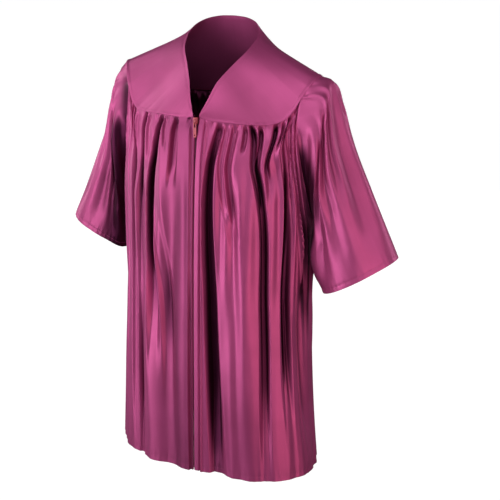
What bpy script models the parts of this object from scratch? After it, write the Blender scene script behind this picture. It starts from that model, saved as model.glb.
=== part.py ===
"""A child's choir robe of satin, worn: yoke, gathered fronts and back, bell sleeves and a front zip.

Metres. The origin is midway between the shoulder tips, at their height. X runs to the wearer's
left, -Y to the front and Z up. Every cloth piece is one closed wall of even thickness.
"""

import math
from collections import namedtuple

import bmesh
import bpy
import numpy as np

# Cloth and seams
WALL = 0.0012
SEAM_GAP = 0.00035
SLANT_LIMIT = 0.5

# Overall sizes
HEM_Z = -0.705
EDGE_REACH = 0.08

# Level sections of the body, from the chest to the hem: the half width on each side, where the side
# lies in Y, and the depths in front and behind. A square value of 2 is an ellipse.
Level = namedtuple(
    "Level", "z half_left half_right side_y front square_left square_right back square_back"
)
BODY_LEVELS = (
    Level(0.000, 0.168, 0.170, -0.015, 0.1060, 2.0, 2.0, 0.070, 2.0),
    Level(-0.060, 0.169, 0.174, -0.015, 0.1150, 2.1, 2.0, 0.080, 2.1),
    Level(-0.130, 0.170, 0.180, -0.015, 0.1245, 2.2, 2.1, 0.086, 2.1),
    Level(-0.250, 0.171, 0.182, -0.020, 0.1345, 2.5, 2.1, 0.084, 2.1),
    Level(-0.400, 0.172, 0.181, -0.030, 0.1405, 2.8, 2.1, 0.078, 2.1),
    Level(-0.560, 0.180, 0.186, -0.040, 0.1445, 3.0, 2.1, 0.077, 2.1),
    Level(-0.705, 0.193, 0.190, -0.045, 0.1480, 3.2, 2.1, 0.080, 2.0),
)

# Seam and edge lines of the wearer's left half
Point = namedtuple("Point", "x y z")
YOKE_SEAM_FRONT = (
    Point(0.0000, -0.1150, -0.0620),
    Point(0.0300, -0.1110, -0.0670),
    Point(0.0620, -0.1030, -0.0695),
    Point(0.0900, -0.0930, -0.0710),
    Point(0.1180, -0.0805, -0.0705),
    Point(0.1370, -0.0705, -0.0640),
    Point(0.1500, -0.0620, -0.0500),
    Point(0.1600, -0.0525, -0.0300),
)
YOKE_END_FRONT = (
    Point(0.1600, -0.0525, -0.0300),
    Point(0.1700, -0.0385, -0.0105),
    Point(0.1770, -0.0260, 0.0005),
    Point(0.1800, -0.0150, 0.0030),
)
ARMHOLE_FRONT = (
    Point(0.1600, -0.0525, -0.0300),
    Point(0.1585, -0.0610, -0.0650),
    Point(0.1600, -0.0620, -0.1000),
    Point(0.1650, -0.0540, -0.1500),
    Point(0.1700, -0.0400, -0.2000),
    Point(0.1725, -0.0270, -0.2330),
    Point(0.1735, -0.0140, -0.2450),
)
YOKE_SEAM_BACK = (
    Point(0.0000, 0.0820, -0.0560),
    Point(0.0400, 0.0790, -0.0590),
    Point(0.0800, 0.0710, -0.0600),
    Point(0.1150, 0.0590, -0.0580),
    Point(0.1400, 0.0470, -0.0480),
    Point(0.1600, 0.0300, -0.0270),
)
YOKE_END_BACK = (
    Point(0.1600, 0.0300, -0.0270),
    Point(0.1700, 0.0140, -0.0090),
    Point(0.1770, 0.0000, 0.0005),
    Point(0.1800, -0.0150, 0.0030),
)
ARMHOLE_BACK = (
    Point(0.1600, 0.0300, -0.0270),
    Point(0.1590, 0.0380, -0.0650),
    Point(0.1605, 0.0380, -0.1000),
    Point(0.1655, 0.0280, -0.1500),
    Point(0.1700, 0.0120, -0.2000),
    Point(0.1725, -0.0020, -0.2330),
    Point(0.1735, -0.0140, -0.2450),
)
NECKLINE_FRONT = (
    Point(0.0040, -0.1130, -0.0515),
    Point(0.0120, -0.1060, -0.0370),
    Point(0.0250, -0.0880, -0.0080),
    Point(0.0400, -0.0650, 0.0150),
    Point(0.0580, -0.0360, 0.0395),
    Point(0.0642, -0.0100, 0.0560),
)
NECKLINE_BACK = (
    Point(0.0642, -0.0100, 0.0560),
    Point(0.0610, 0.0080, 0.0675),
    Point(0.0480, 0.0250, 0.0770),
    Point(0.0260, 0.0360, 0.0825),
    Point(0.0000, 0.0400, 0.0840),
)

# The zip: tapes behind the front edges, a coil between them, a slider with a crown and a pull
TAPE_SHARES = (0.0085, 0.024, 0.040)
TAPE_THICKNESS = 0.0010
TAPE_LOWEST = 0.985
CHAIN_WIDTH = 0.0044
CHAIN_THICKNESS = 0.0020
CHAIN_TOP_Z = -0.0745
SLIDER_TOP_Z = -0.0622
SLIDER_BOTTOM_Z = -0.0742
SLIDER_TOP_WIDTH = 0.0074
SLIDER_BOTTOM_WIDTH = 0.0058
SLIDER_FACE_Y = -0.1205
SLIDER_BACK_Y = -0.1145
SLIDER_CORNER = 0.0012
CROWN_TOP_Z = -0.0640
CROWN_BOTTOM_Z = -0.0735
CROWN_BAR = 0.0010
CROWN_HEIGHT = 0.0034
CROWN_WIDTH = 0.0016
CROWN_ROOT = 0.0004
CROWN_SQUARE = 3.0
CROWN_STEPS = 12
PULL_AXIS_Y = -0.1217
PULL_AXIS_Z = -0.0710
PULL_BAR = 0.0011
PULL_THICKNESS = 0.0012
PULL_TOP_WIDTH = 0.0058
PULL_WIDTH = 0.0050
PULL_END_Z = -0.0957
PULL_WINDOW_WIDTH = 0.0028
PULL_WINDOW_BOTTOM_Z = -0.0788
PULL_HOLE_Z = -0.0915
PULL_HOLE_RADIUS = 0.0011
PULL_SHOULDER_Z = -0.0800
PULL_SHOULDER_DROP = 0.002
PULL_CORNER = 0.0012

# Heights at which the walls have a row of points, as shares from the seam to the free edge
PANEL_ROWS = (0, 0.011, 0.028, 0.055, 0.095, 0.145, 0.21, 0.29, 0.39, 0.51, 0.65, 0.81, 1)
SLEEVE_ROWS = (0, 0.03, 0.07, 0.13, 0.21, 0.32, 0.45, 0.59, 0.73, 0.87, 1)
YOKE_ROWS = (0, 0.2, 0.4, 0.6, 0.8, 1)
YOKE_SEAM_CELLS = 24
YOKE_END_CELLS = 5
ARM_CELLS = 12
SLEEVE_CAP_SHARE = 0.26
ARMHOLE_LINES_REACH = 0.20

# Share of the half girth at which the yoke seam ends and the armhole begins
CORNER_SHARE = 0.72
ARMHOLE_SHARE_POWER = 0.75
ARMHOLE_REACH = 0.040
RIGHT_SEAM_RISE = 0.005
RIGHT_SEAM_SHARE = 1 / 1.4
ZIP_MOUTH_REACH = 0.024
GIRTH_AT_SEAM = 0.235
GIRTH_AT_HEM = 0.285
PUFF_DEPTH = 0.004
PUFF_BELOW = 0.030
PUFF_END = 0.220
PUFF_LAST_SHARE = 0.88
PUFF_SHARE_FADE = 0.14
SEAM_FADE = 0.007
SIDE_FADE = 0.05
PLACKET_SHARE = 0.025
PLACKET_EDGE = 0.045
YOKE_CORNER = 0.80
YOKE_CROWN = 0.002
YOKE_CROWN_FADE = 0.3
YOKE_CROWN_LIFT = 0.08
ARM_CORNER = 0.08
SLEEVE_GIRTH = 0.42
SLEEVE_SEAM_FADE = 0.03
COLUMN_STEP = 0.010
COLUMN_GAPS = (0.030, 0.090, 0.130)
CORNER_REACH = 0.01
FOLD_END_SHARE = 0.3
FACING_STEP = 0.004
CURVE_STEPS = 121

# The loop of an armhole, for the way the cloth faces along it
ARMHOLE_MIDDLE_Y = -0.012
ARMHOLE_MIDDLE_Z = -0.121
ARMHOLE_HALF_DEPTH = 0.05
ARMHOLE_HALF_HEIGHT = 0.124
ARMHOLE_LEAN = 0.3
ARMHOLE_FACING_X = 0.125
ARMHOLE_FACING_REACH = 0.03
SEAM_FACING_LIFT = 0.25

# Half the space between the front edges: a mouth round the slider that closes to a slot
Slot = namedtuple("Slot", "z half")
ZIP_SLOT = (
    Slot(-0.050, 0.0052),
    Slot(-0.066, 0.0050),
    Slot(-0.076, 0.0040),
    Slot(-0.086, 0.0024),
    Slot(-0.110, 0.0016),
    Slot(-0.150, 0.0008),
    Slot(-0.710, 0.0008),
)

# Rings of the sleeves: where the outer and the inner side lie, the middle in Y and the half depth
Ring = namedtuple("Ring", "share outer_x outer_z inner_x inner_z middle_y half_depth")
SLEEVE_RINGS_LEFT = (
    Ring(0.07, 0.2015, -0.0035, 0.1800, -0.2540, -0.013, 0.056),
    Ring(0.15, 0.2135, -0.0300, 0.1820, -0.2660, -0.013, 0.059),
    Ring(0.35, 0.2350, -0.0940, 0.1835, -0.2980, -0.014, 0.062),
    Ring(0.65, 0.2755, -0.1900, 0.1860, -0.3380, -0.014, 0.064),
    Ring(1.00, 0.3240, -0.2990, 0.1960, -0.3740, -0.014, 0.066),
)
SLEEVE_RINGS_RIGHT = (
    Ring(0.07, 0.1955, -0.0120, 0.1830, -0.2540, -0.011, 0.051),
    Ring(0.15, 0.2045, -0.0380, 0.1870, -0.2655, -0.009, 0.051),
    Ring(0.35, 0.2245, -0.0990, 0.1900, -0.2940, -0.006, 0.049),
    Ring(0.65, 0.2615, -0.1920, 0.1930, -0.3230, -0.004, 0.045),
    Ring(1.00, 0.3050, -0.2910, 0.2000, -0.3500, -0.001, 0.040),
)

# A fold runs down from the seam. Its place is a share of the half girth, at the seam, on the chest,
# halfway down and at the hem. Its width and its depth (inwards) change on the way, and it ends
# at a share of the height.
Fold = namedtuple(
    "Fold",
    "seam chest middle hem wide_seam wide_hem deep_seam deep_chest deep_middle deep_hem end",
)
FOLD_STATIONS = (0.0, 0.15, 0.5, 1.0)
FOLDS_FRONT_LEFT = (
    Fold(0.152, 0.110, 0.137, 0.152, 0.012, 0.030, 0.005, 0.011, 0.014, 0.011, 1.0),
    Fold(0.195, 0.230, 0.277, 0.334, 0.008, 0.012, 0.003, 0.003, 0.001, 0.000, 0.40),
    Fold(0.237, 0.263, 0.300, 0.334, 0.009, 0.012, 0.004, 0.005, 0.002, 0.000, 0.26),
    Fold(0.280, 0.306, 0.344, 0.382, 0.008, 0.012, 0.004, 0.002, 0.000, 0.000, 0.16),
    Fold(0.318, 0.361, 0.398, 0.429, 0.008, 0.012, 0.004, 0.002, 0.000, 0.000, 0.12),
    Fold(0.343, 0.413, 0.442, 0.467, 0.007, 0.012, 0.003, 0.004, 0.002, 0.000, 0.30),
    Fold(0.363, 0.463, 0.501, 0.505, 0.008, 0.012, 0.006, 0.006, 0.000, 0.000, 0.16),
    Fold(0.402, 0.496, 0.535, 0.524, 0.009, 0.024, 0.006, 0.010, 0.011, 0.003, 0.92),
    Fold(0.445, 0.541, 0.569, 0.582, 0.008, 0.010, 0.004, 0.001, 0.000, 0.000, 0.10),
    Fold(0.503, 0.593, 0.608, 0.620, 0.009, 0.110, 0.006, 0.009, 0.000, 0.000, 0.225),
    Fold(0.560, 0.661, 0.687, 0.696, 0.007, 0.010, 0.004, 0.001, 0.000, 0.000, 0.09),
    Fold(0.590, 0.701, 0.720, 0.736, 0.007, 0.024, 0.003, 0.005, 0.008, 0.004, 0.95),
    Fold(0.618, 0.731, 0.755, 0.762, 0.007, 0.010, 0.003, 0.001, 0.000, 0.000, 0.08),
    Fold(0.646, 0.765, 0.785, 0.791, 0.007, 0.010, 0.003, 0.001, 0.000, 0.000, 0.08),
    Fold(0.675, 0.800, 0.834, 0.848, 0.007, 0.024, 0.003, 0.006, 0.006, 0.004, 1.0),
    Fold(0.700, 0.870, 0.907, 0.914, 0.007, 0.026, 0.003, 0.003, 0.004, 0.006, 1.0),
)
FOLDS_FRONT_RIGHT = (
    Fold(0.155, 0.196, 0.199, 0.177, 0.008, 0.080, 0.004, 0.006, 0.000, 0.000, 0.18),
    Fold(0.240, 0.344, 0.377, 0.318, 0.014, 0.034, 0.006, 0.014, 0.013, 0.005, 1.0),
    Fold(0.205, 0.261, 0.247, 0.234, 0.007, 0.030, 0.003, 0.001, 0.006, 0.003, 1.0),
    Fold(0.310, 0.424, 0.438, 0.423, 0.008, 0.010, 0.003, 0.002, 0.000, 0.000, 0.10),
    Fold(0.350, 0.439, 0.454, 0.444, 0.007, 0.010, 0.003, 0.001, 0.000, 0.000, 0.07),
    Fold(0.388, 0.464, 0.469, 0.465, 0.009, 0.030, 0.005, 0.007, 0.003, 0.000, 0.24),
    Fold(0.430, 0.499, 0.505, 0.496, 0.007, 0.010, 0.004, 0.001, 0.000, 0.000, 0.08),
    Fold(0.470, 0.547, 0.566, 0.507, 0.008, 0.040, 0.004, 0.006, 0.005, 0.010, 1.0),
    Fold(0.540, 0.589, 0.632, 0.612, 0.008, 0.012, 0.004, 0.003, 0.001, 0.000, 0.22),
    Fold(0.580, 0.639, 0.683, 0.675, 0.009, 0.014, 0.005, 0.005, 0.002, 0.000, 0.28),
    Fold(0.620, 0.689, 0.724, 0.717, 0.007, 0.012, 0.003, 0.003, 0.002, 0.003, 0.30),
    Fold(0.655, 0.739, 0.775, 0.790, 0.007, 0.020, 0.003, 0.002, 0.003, 0.005, 1.0),
    Fold(0.690, 0.830, 0.877, 0.885, 0.007, 0.024, 0.003, 0.005, 0.005, 0.005, 1.0),
)
# The back's folds, from the wearer's right to left: shares below 0 are the right half
FOLDS_BACK = (
    Fold(-0.700, -0.850, -0.880, -0.890, 0.008, 0.028, 0.003, 0.005, 0.006, 0.007, 1.0),
    Fold(-0.650, -0.770, -0.790, -0.790, 0.008, 0.012, 0.004, 0.002, 0.000, 0.000, 0.12),
    Fold(-0.605, -0.690, -0.700, -0.680, 0.009, 0.030, 0.005, 0.009, 0.010, 0.008, 1.0),
    Fold(-0.560, -0.620, -0.630, -0.630, 0.008, 0.012, 0.004, 0.002, 0.000, 0.000, 0.15),
    Fold(-0.515, -0.565, -0.560, -0.570, 0.008, 0.014, 0.004, 0.005, 0.002, 0.000, 0.32),
    Fold(-0.470, -0.505, -0.500, -0.490, 0.009, 0.030, 0.005, 0.010, 0.012, 0.009, 1.0),
    Fold(-0.425, -0.445, -0.440, -0.430, 0.008, 0.012, 0.004, 0.002, 0.000, 0.000, 0.11),
    Fold(-0.380, -0.390, -0.380, -0.370, 0.008, 0.014, 0.004, 0.004, 0.001, 0.000, 0.27),
    Fold(-0.335, -0.335, -0.320, -0.310, 0.009, 0.026, 0.005, 0.008, 0.009, 0.005, 0.90),
    Fold(-0.290, -0.280, -0.265, -0.260, 0.008, 0.012, 0.004, 0.002, 0.000, 0.000, 0.14),
    Fold(-0.240, -0.225, -0.215, -0.210, 0.008, 0.012, 0.004, 0.004, 0.001, 0.000, 0.22),
    Fold(-0.190, -0.175, -0.165, -0.170, 0.010, 0.032, 0.005, 0.010, 0.012, 0.010, 1.0),
    Fold(-0.140, -0.125, -0.110, -0.105, 0.008, 0.012, 0.004, 0.002, 0.000, 0.000, 0.13),
    Fold(-0.090, -0.075, -0.060, -0.060, 0.008, 0.014, 0.004, 0.003, 0.001, 0.000, 0.30),
    Fold(-0.040, -0.030, -0.010, 0.000, 0.008, 0.022, 0.004, 0.006, 0.006, 0.004, 0.80),
    Fold(0.015, 0.030, 0.045, 0.060, 0.008, 0.012, 0.004, 0.002, 0.000, 0.000, 0.10),
    Fold(0.065, 0.080, 0.095, 0.100, 0.008, 0.012, 0.004, 0.004, 0.001, 0.000, 0.26),
    Fold(0.110, 0.130, 0.150, 0.145, 0.010, 0.032, 0.005, 0.009, 0.012, 0.010, 1.0),
    Fold(0.160, 0.185, 0.200, 0.200, 0.008, 0.012, 0.004, 0.002, 0.000, 0.000, 0.15),
    Fold(0.210, 0.235, 0.255, 0.255, 0.008, 0.014, 0.004, 0.005, 0.002, 0.000, 0.33),
    Fold(0.255, 0.285, 0.305, 0.305, 0.008, 0.012, 0.004, 0.002, 0.000, 0.000, 0.12),
    Fold(0.300, 0.335, 0.360, 0.350, 0.009, 0.028, 0.005, 0.009, 0.010, 0.007, 1.0),
    Fold(0.345, 0.385, 0.410, 0.410, 0.008, 0.012, 0.004, 0.002, 0.000, 0.000, 0.14),
    Fold(0.390, 0.435, 0.460, 0.460, 0.008, 0.014, 0.004, 0.003, 0.001, 0.000, 0.22),
    Fold(0.435, 0.485, 0.515, 0.510, 0.009, 0.024, 0.005, 0.007, 0.008, 0.004, 0.85),
    Fold(0.480, 0.535, 0.565, 0.560, 0.008, 0.012, 0.004, 0.002, 0.000, 0.000, 0.10),
    Fold(0.525, 0.590, 0.620, 0.620, 0.008, 0.012, 0.004, 0.004, 0.001, 0.000, 0.25),
    Fold(0.570, 0.650, 0.680, 0.685, 0.009, 0.030, 0.005, 0.008, 0.011, 0.009, 1.0),
    Fold(0.615, 0.715, 0.740, 0.740, 0.008, 0.012, 0.004, 0.002, 0.000, 0.000, 0.12),
    Fold(0.655, 0.780, 0.810, 0.810, 0.008, 0.014, 0.004, 0.003, 0.001, 0.000, 0.25),
    Fold(0.695, 0.860, 0.900, 0.900, 0.008, 0.028, 0.003, 0.005, 0.006, 0.007, 1.0),
)
# The sleeves' folds: shares run round from the shoulder tip, 0.25 in front, 0.5 under the arm
FOLDS_SLEEVE = (
    Fold(0.030, 0.045, 0.060, 0.070, 0.010, 0.034, 0.004, 0.006, 0.006, 0.003, 1.0),
    Fold(0.070, 0.090, 0.110, 0.120, 0.008, 0.020, 0.003, 0.003, 0.001, 0.000, 0.45),
    Fold(0.110, 0.140, 0.170, 0.190, 0.010, 0.040, 0.004, 0.007, 0.008, 0.006, 1.0),
    Fold(0.155, 0.195, 0.230, 0.260, 0.008, 0.020, 0.003, 0.003, 0.001, 0.000, 0.40),
    Fold(0.200, 0.245, 0.285, 0.320, 0.008, 0.036, 0.003, 0.005, 0.006, 0.005, 1.0),
    Fold(0.970, 0.965, 0.960, 0.955, 0.009, 0.022, 0.003, 0.004, 0.002, 0.000, 0.60),
    Fold(0.930, 0.910, 0.890, 0.880, 0.010, 0.040, 0.004, 0.007, 0.008, 0.005, 1.0),
    Fold(0.885, 0.855, 0.830, 0.820, 0.008, 0.020, 0.003, 0.003, 0.001, 0.000, 0.35),
    Fold(0.840, 0.800, 0.770, 0.750, 0.009, 0.038, 0.003, 0.006, 0.007, 0.006, 1.0),
    Fold(0.790, 0.745, 0.710, 0.690, 0.008, 0.020, 0.003, 0.002, 0.001, 0.000, 0.45),
)


def spline(stations, values, share):
    """A smooth curve through values at rising stations, read at each share."""
    stations = np.asarray(stations, float)
    values = np.asarray(values, float)
    share = np.asarray(share, float)
    slopes = np.gradient(values, stations, axis=0)
    index = np.clip(np.searchsorted(stations, share, side="right") - 1, 0, len(stations) - 2)
    span = stations[index + 1] - stations[index]
    t = np.clip((share - stations[index]) / span, 0.0, 1.0)
    extra = (1,) * (values.ndim - 1)
    t = t.reshape(t.shape + extra)
    span = span.reshape(span.shape + extra)
    start, stop = values[index], values[index + 1]
    rise_start, rise_stop = slopes[index] * span, slopes[index + 1] * span
    return (
        (2 * t**3 - 3 * t**2 + 1) * start
        + (t**3 - 2 * t**2 + t) * rise_start
        + (3 * t**2 - 2 * t**3) * stop
        + (t**3 - t**2) * rise_stop
    )


def curve(rows, share):
    """Points at shares of the length of a smooth curve through the rows of a table."""
    points = np.array(rows, float)
    steps = np.linalg.norm(np.diff(points, axis=0), axis=1)
    stations = np.concatenate(([0.0], np.cumsum(steps)))
    return spline(stations / stations[-1], points, share)


def smooth_step(value):
    """0 below 0, 1 above 1 and an S between."""
    value = np.clip(value, 0.0, 1.0)
    return value * value * (3 - 2 * value)


def unit(vectors):
    """Vectors scaled to length 1."""
    return vectors / np.maximum(np.linalg.norm(vectors, axis=-1, keepdims=True), 1e-9)


def quarter_outline(half_width, depth, square):
    """A quarter of a level's outline from the middle to the side: shares of its length, X and depth."""
    angle = np.linspace(0.0, math.pi / 2, CURVE_STEPS)
    across, along = np.sin(angle), np.cos(angle)
    reach = ((across / half_width) ** square + (along / depth) ** square) ** (-1 / square)
    x, y = reach * across, reach * along
    length = np.concatenate(([0.0], np.cumsum(np.hypot(np.diff(x), np.diff(y)))))
    return length / length[-1], x, y


def body_shell(side, back, share, z):
    """Points of the smooth body at shares of the half girth (0 at the zip or middle back) and heights."""
    weights = spline([-level.z for level in BODY_LEVELS], np.eye(len(BODY_LEVELS)), -z)
    x = np.zeros_like(z)
    y = np.zeros_like(z)
    for index, level in enumerate(BODY_LEVELS):
        if back:
            depth, square, sign = level.back - level.side_y, level.square_back, 1
        else:
            depth, sign = level.front + level.side_y, -1
            square = level.square_left if side > 0 else level.square_right
        half_width = level.half_left if side > 0 else level.half_right
        shares, across, along = quarter_outline(half_width, depth, square)
        weight = weights[..., index]
        x += weight * np.interp(share, shares, across)
        y += weight * (level.side_y + sign * np.interp(share, shares, along))
    return np.stack([side * x, y, z], axis=-1)


def seam_rows(side, back):
    """The yoke seam of one half, on the wearer's left in X."""
    if back:
        return YOKE_SEAM_BACK
    rows = np.array(YOKE_SEAM_FRONT, float)
    if side < 0:
        share = np.linspace(0.0, 1.0, len(rows))
        rows[:, 2] += RIGHT_SEAM_RISE * np.sin(math.pi * np.clip(share / RIGHT_SEAM_SHARE, 0.0, 1.0))
    return rows


def armhole_edge(side, back, way):
    """Points on an armhole's edge, straight between the stations that the sleeve shares."""
    stations = np.linspace(0.0, 1.0, ARM_CELLS + 1)
    corners = curve(ARMHOLE_BACK if back else ARMHOLE_FRONT, stations)
    edge = np.stack([np.interp(way, stations, corners[:, axis]) for axis in range(3)], axis=-1)
    return edge * np.array([side, 1.0, 1.0])


def top_line(side, back, share):
    """Points on the upper edge of a front or back: the yoke seam, then the armhole."""
    share = np.abs(share)
    seam = curve(seam_rows(side, back), np.clip(share / CORNER_SHARE, 0.0, 1.0))
    way = np.clip((share - CORNER_SHARE) / (1 - CORNER_SHARE), 0.0, 1.0) ** ARMHOLE_SHARE_POWER
    arm = armhole_edge(1, back, way)
    line = np.where((share <= CORNER_SHARE)[..., None], seam, arm)
    return line * np.array([side, 1.0, 1.0])


def shoulder_facing(points):
    """The way the cloth faces along the seams of the yoke and the armholes, the same for both pieces."""
    side = np.sign(points[..., 0])
    around = unit(
        np.stack(
            [
                ARMHOLE_LEAN * side,
                (points[..., 1] - ARMHOLE_MIDDLE_Y) / ARMHOLE_HALF_DEPTH,
                (points[..., 2] - ARMHOLE_MIDDLE_Z) / ARMHOLE_HALF_HEIGHT,
            ],
            axis=-1,
        )
    )
    outward = unit(points * np.array([1.0, 2.0, 0.0]))
    ahead = unit(outward + np.array([0.0, 0.0, SEAM_FACING_LIFT]))
    near_arm = smooth_step((np.abs(points[..., 0]) - ARMHOLE_FACING_X) / ARMHOLE_FACING_REACH)[..., None]
    return unit(ahead * (1 - near_arm) + around * near_arm)


def fold_depth(folds, share, down, girth, round_trip=False):
    """How far the folds of a table push the cloth inwards, at shares of the girth and of the height."""
    depth = np.zeros_like(share)
    for fold in folds:
        place = spline(FOLD_STATIONS, [fold.seam, fold.chest, fold.middle, fold.hem], down)
        deep = [fold.deep_seam, fold.deep_chest, fold.deep_middle, fold.deep_hem]
        amount = np.interp(down, FOLD_STATIONS, deep)
        width = fold.wide_seam + (fold.wide_hem - fold.wide_seam) * down
        shows = smooth_step((fold.end - down) / (FOLD_END_SHARE * fold.end)) if fold.end < 1.0 else 1.0
        away = share - place
        if round_trip:
            away = away - np.round(away)
        across = np.clip(away * girth / (0.5 * width), -1.0, 1.0)
        depth = depth + amount * shows * np.cos(across * math.pi / 2) ** 2
    return depth


def spread_at_zip(points, side):
    """Points beside the zip moved apart: a slot below, and a mouth round the slider."""
    x, z = points[..., 0], points[..., 2]
    half = np.interp(-z, [-row.z for row in ZIP_SLOT], [row.half for row in ZIP_SLOT])
    near = np.clip(1 - np.abs(x) / ZIP_MOUTH_REACH, 0.0, 1.0)
    moved = points.copy()
    moved[..., 0] = x + side * half * near
    return moved


def armhole_pull(side, back, share, z):
    """How far the armhole's edge draws the smooth body in, at shares of the half girth and heights."""
    way = np.linspace(0.0, 1.0, CURVE_STEPS)
    edge = armhole_edge(side, back, way)
    edge_share = CORNER_SHARE + (1 - CORNER_SHARE) * way ** (1 / ARMHOLE_SHARE_POWER)
    pull = (edge - body_shell(side, back, edge_share, edge[:, 2]))[:, :2]
    at_share = np.interp(-z, -edge[:, 2], edge_share)
    drawn = np.stack([np.interp(-z, -edge[:, 2], pull[:, axis]) for axis in (0, 1)], axis=-1)
    below = 1 - smooth_step((edge[-1, 2] - z) / EDGE_REACH)
    beside = 1 - smooth_step((at_share - share) * GIRTH_AT_SEAM / ARMHOLE_REACH)
    return drawn * (below * beside)[..., None]


def hanging_shell(side, back, share, z):
    """The smooth body drawn in along its armhole."""
    points = body_shell(side, back, share, z)
    points[..., :2] += armhole_pull(side, back, share, z)
    return points


def panel_shell(side, back, share, down):
    """Smooth points of a front or back panel at shares of the half girth and of the height."""
    top = top_line(side, back, share)
    drop = (top[..., 2] - HEM_Z) * down
    points = hanging_shell(side, back, share, top[..., 2] - drop)
    start = hanging_shell(side, back, share, top[..., 2])
    near = 1 - smooth_step(drop / EDGE_REACH)
    points[..., :2] += (top - start)[..., :2] * near[..., None]
    return points if back else spread_at_zip(points, side)


def facing_of(shell, share, down):
    """Unit vectors out of a smooth shell, a function of two shares."""
    across = shell(share + FACING_STEP, down) - shell(share - FACING_STEP, down)
    lower, upper = np.minimum(down + FACING_STEP, 1.0), np.maximum(down - FACING_STEP, 0.0)
    along = shell(share, lower) - shell(share, upper)
    return unit(np.cross(across, along))


def front_points(side, share, down, folds):
    """Outer points of a front with its folds, and the way its smooth shell faces."""
    inside = np.clip(share, FACING_STEP, 1 - FACING_STEP)
    facing = side * -facing_of(lambda a, b: panel_shell(side, False, a, b), inside, down)
    points = panel_shell(side, False, share, down)
    drop = points[:1, :, 2] - points[..., 2]
    girth = GIRTH_AT_SEAM + (GIRTH_AT_HEM - GIRTH_AT_SEAM) * down
    depth = fold_depth(folds, share, down, girth) - puff(share, drop)
    depth *= smooth_step(drop / SEAM_FADE) * smooth_step((1 - share) / SIDE_FADE)
    depth *= smooth_step((share - PLACKET_SHARE) / PLACKET_SHARE)
    return points - facing * depth[..., None], facing


def back_points(share, down, folds):
    """Outer points of the back with its folds, and the way its smooth shell faces."""

    def shell(around, height):
        left = panel_shell(1, True, np.abs(around), height)
        right = panel_shell(-1, True, np.abs(around), height)
        return np.where((around >= 0)[..., None], left, right)

    inside = np.clip(share, FACING_STEP - 1, 1 - FACING_STEP)
    facing = facing_of(shell, inside, down)
    points = shell(share, down)
    drop = points[:1, :, 2] - points[..., 2]
    girth = GIRTH_AT_SEAM + (GIRTH_AT_HEM - GIRTH_AT_SEAM) * down
    depth = fold_depth(folds, share, down, girth) - puff(np.abs(share), drop)
    depth *= smooth_step(drop / SEAM_FADE) * smooth_step((1 - np.abs(share)) / SIDE_FADE)
    return points - facing * depth[..., None], facing


def puff(share, drop):
    """How far gathered cloth stands out below its seam, less beside the armhole."""
    beside = smooth_step((PUFF_LAST_SHARE - share) / PUFF_SHARE_FADE)
    return PUFF_DEPTH * beside * smooth_step(drop / PUFF_BELOW) * (1 - smooth_step(drop / PUFF_END))


def yoke_shell(side, back, share, down):
    """Smooth points of half a yoke: share 0 at the middle, 1 at the shoulder seam, down from the neck."""
    ends = YOKE_END_BACK if back else YOKE_END_FRONT
    seam = curve(seam_rows(side, back), np.clip(share / YOKE_CORNER, 0.0, 1.0))
    end = curve(ends, np.clip((share - YOKE_CORNER) / (1 - YOKE_CORNER), 0.0, 1.0))
    lower = np.where((share <= YOKE_CORNER)[..., None], seam, end)
    neck = curve(NECKLINE_BACK, 1 - share) if back else curve(NECKLINE_FRONT, share)
    points = neck + (lower - neck) * down[..., None]
    crown = YOKE_CROWN * 4 * down * (1 - down) * smooth_step((1 - share) / YOKE_CROWN_FADE)
    lift = unit(points * np.array([1.0, 2.0, 0.0]) + np.array([0.0, 0.0, YOKE_CROWN_LIFT]))
    points = points + crown[..., None] * lift
    points = points * np.array([side, 1.0, 1.0])
    return points if back else spread_at_zip(points, side)


def armhole_loop(side, around):
    """Points round an armhole: from the shoulder tip forwards, 0.5 under the arm, and up the back."""
    forward = around <= 0.5
    way = np.where(forward, around, 1 - around)
    stations = np.linspace(0.0, 1.0, YOKE_END_CELLS + 1)
    end_share = np.clip(1 - way / ARM_CORNER, 0.0, 1.0)
    arm_share = np.clip((way - ARM_CORNER) / (0.5 - ARM_CORNER), 0.0, 1.0)
    halves = []
    for back, ends in ((False, YOKE_END_FRONT), (True, YOKE_END_BACK)):
        corners = curve(ends, stations)
        end = np.stack([np.interp(end_share, stations, corners[:, axis]) for axis in range(3)], axis=-1)
        on_end = (way < ARM_CORNER)[..., None]
        halves.append(np.where(on_end, end, armhole_edge(1, back, arm_share)))
    return np.where(forward[..., None], halves[0], halves[1]) * np.array([side, 1.0, 1.0])


def sleeve_shell(side, around, down):
    """Smooth points of a sleeve at shares of its girth and of its length."""
    around = around % 1.0
    rings = SLEEVE_RINGS_LEFT if side > 0 else SLEEVE_RINGS_RIGHT
    stations = [0.0] + [ring.share for ring in rings]
    weights = spline(stations, np.eye(len(stations)), down)
    points = weights[..., :1] * armhole_loop(side, around)
    turn = 2 * math.pi * around
    for index, ring in enumerate(rings):
        middle_x, middle_z = (ring.outer_x + ring.inner_x) / 2, (ring.outer_z + ring.inner_z) / 2
        reach_x, reach_z = (ring.outer_x - ring.inner_x) / 2, (ring.outer_z - ring.inner_z) / 2
        x = middle_x + reach_x * np.cos(turn)
        y = ring.middle_y - ring.half_depth * np.sin(turn)
        z = middle_z + reach_z * np.cos(turn)
        points = points + weights[..., index + 1, None] * np.stack([side * x, y, z], axis=-1)
    return points


def sleeve_points(side, around, down, folds):
    """Outer points of a sleeve with its folds, and the way its smooth shell faces."""
    facing = side * facing_of(lambda a, b: sleeve_shell(side, a, b), around, down)
    points = sleeve_shell(side, around, down)
    depth = fold_depth(folds, around, down, SLEEVE_GIRTH, round_trip=True)
    depth *= smooth_step(down / SLEEVE_SEAM_FADE)
    return points - facing * depth[..., None], facing


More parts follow.
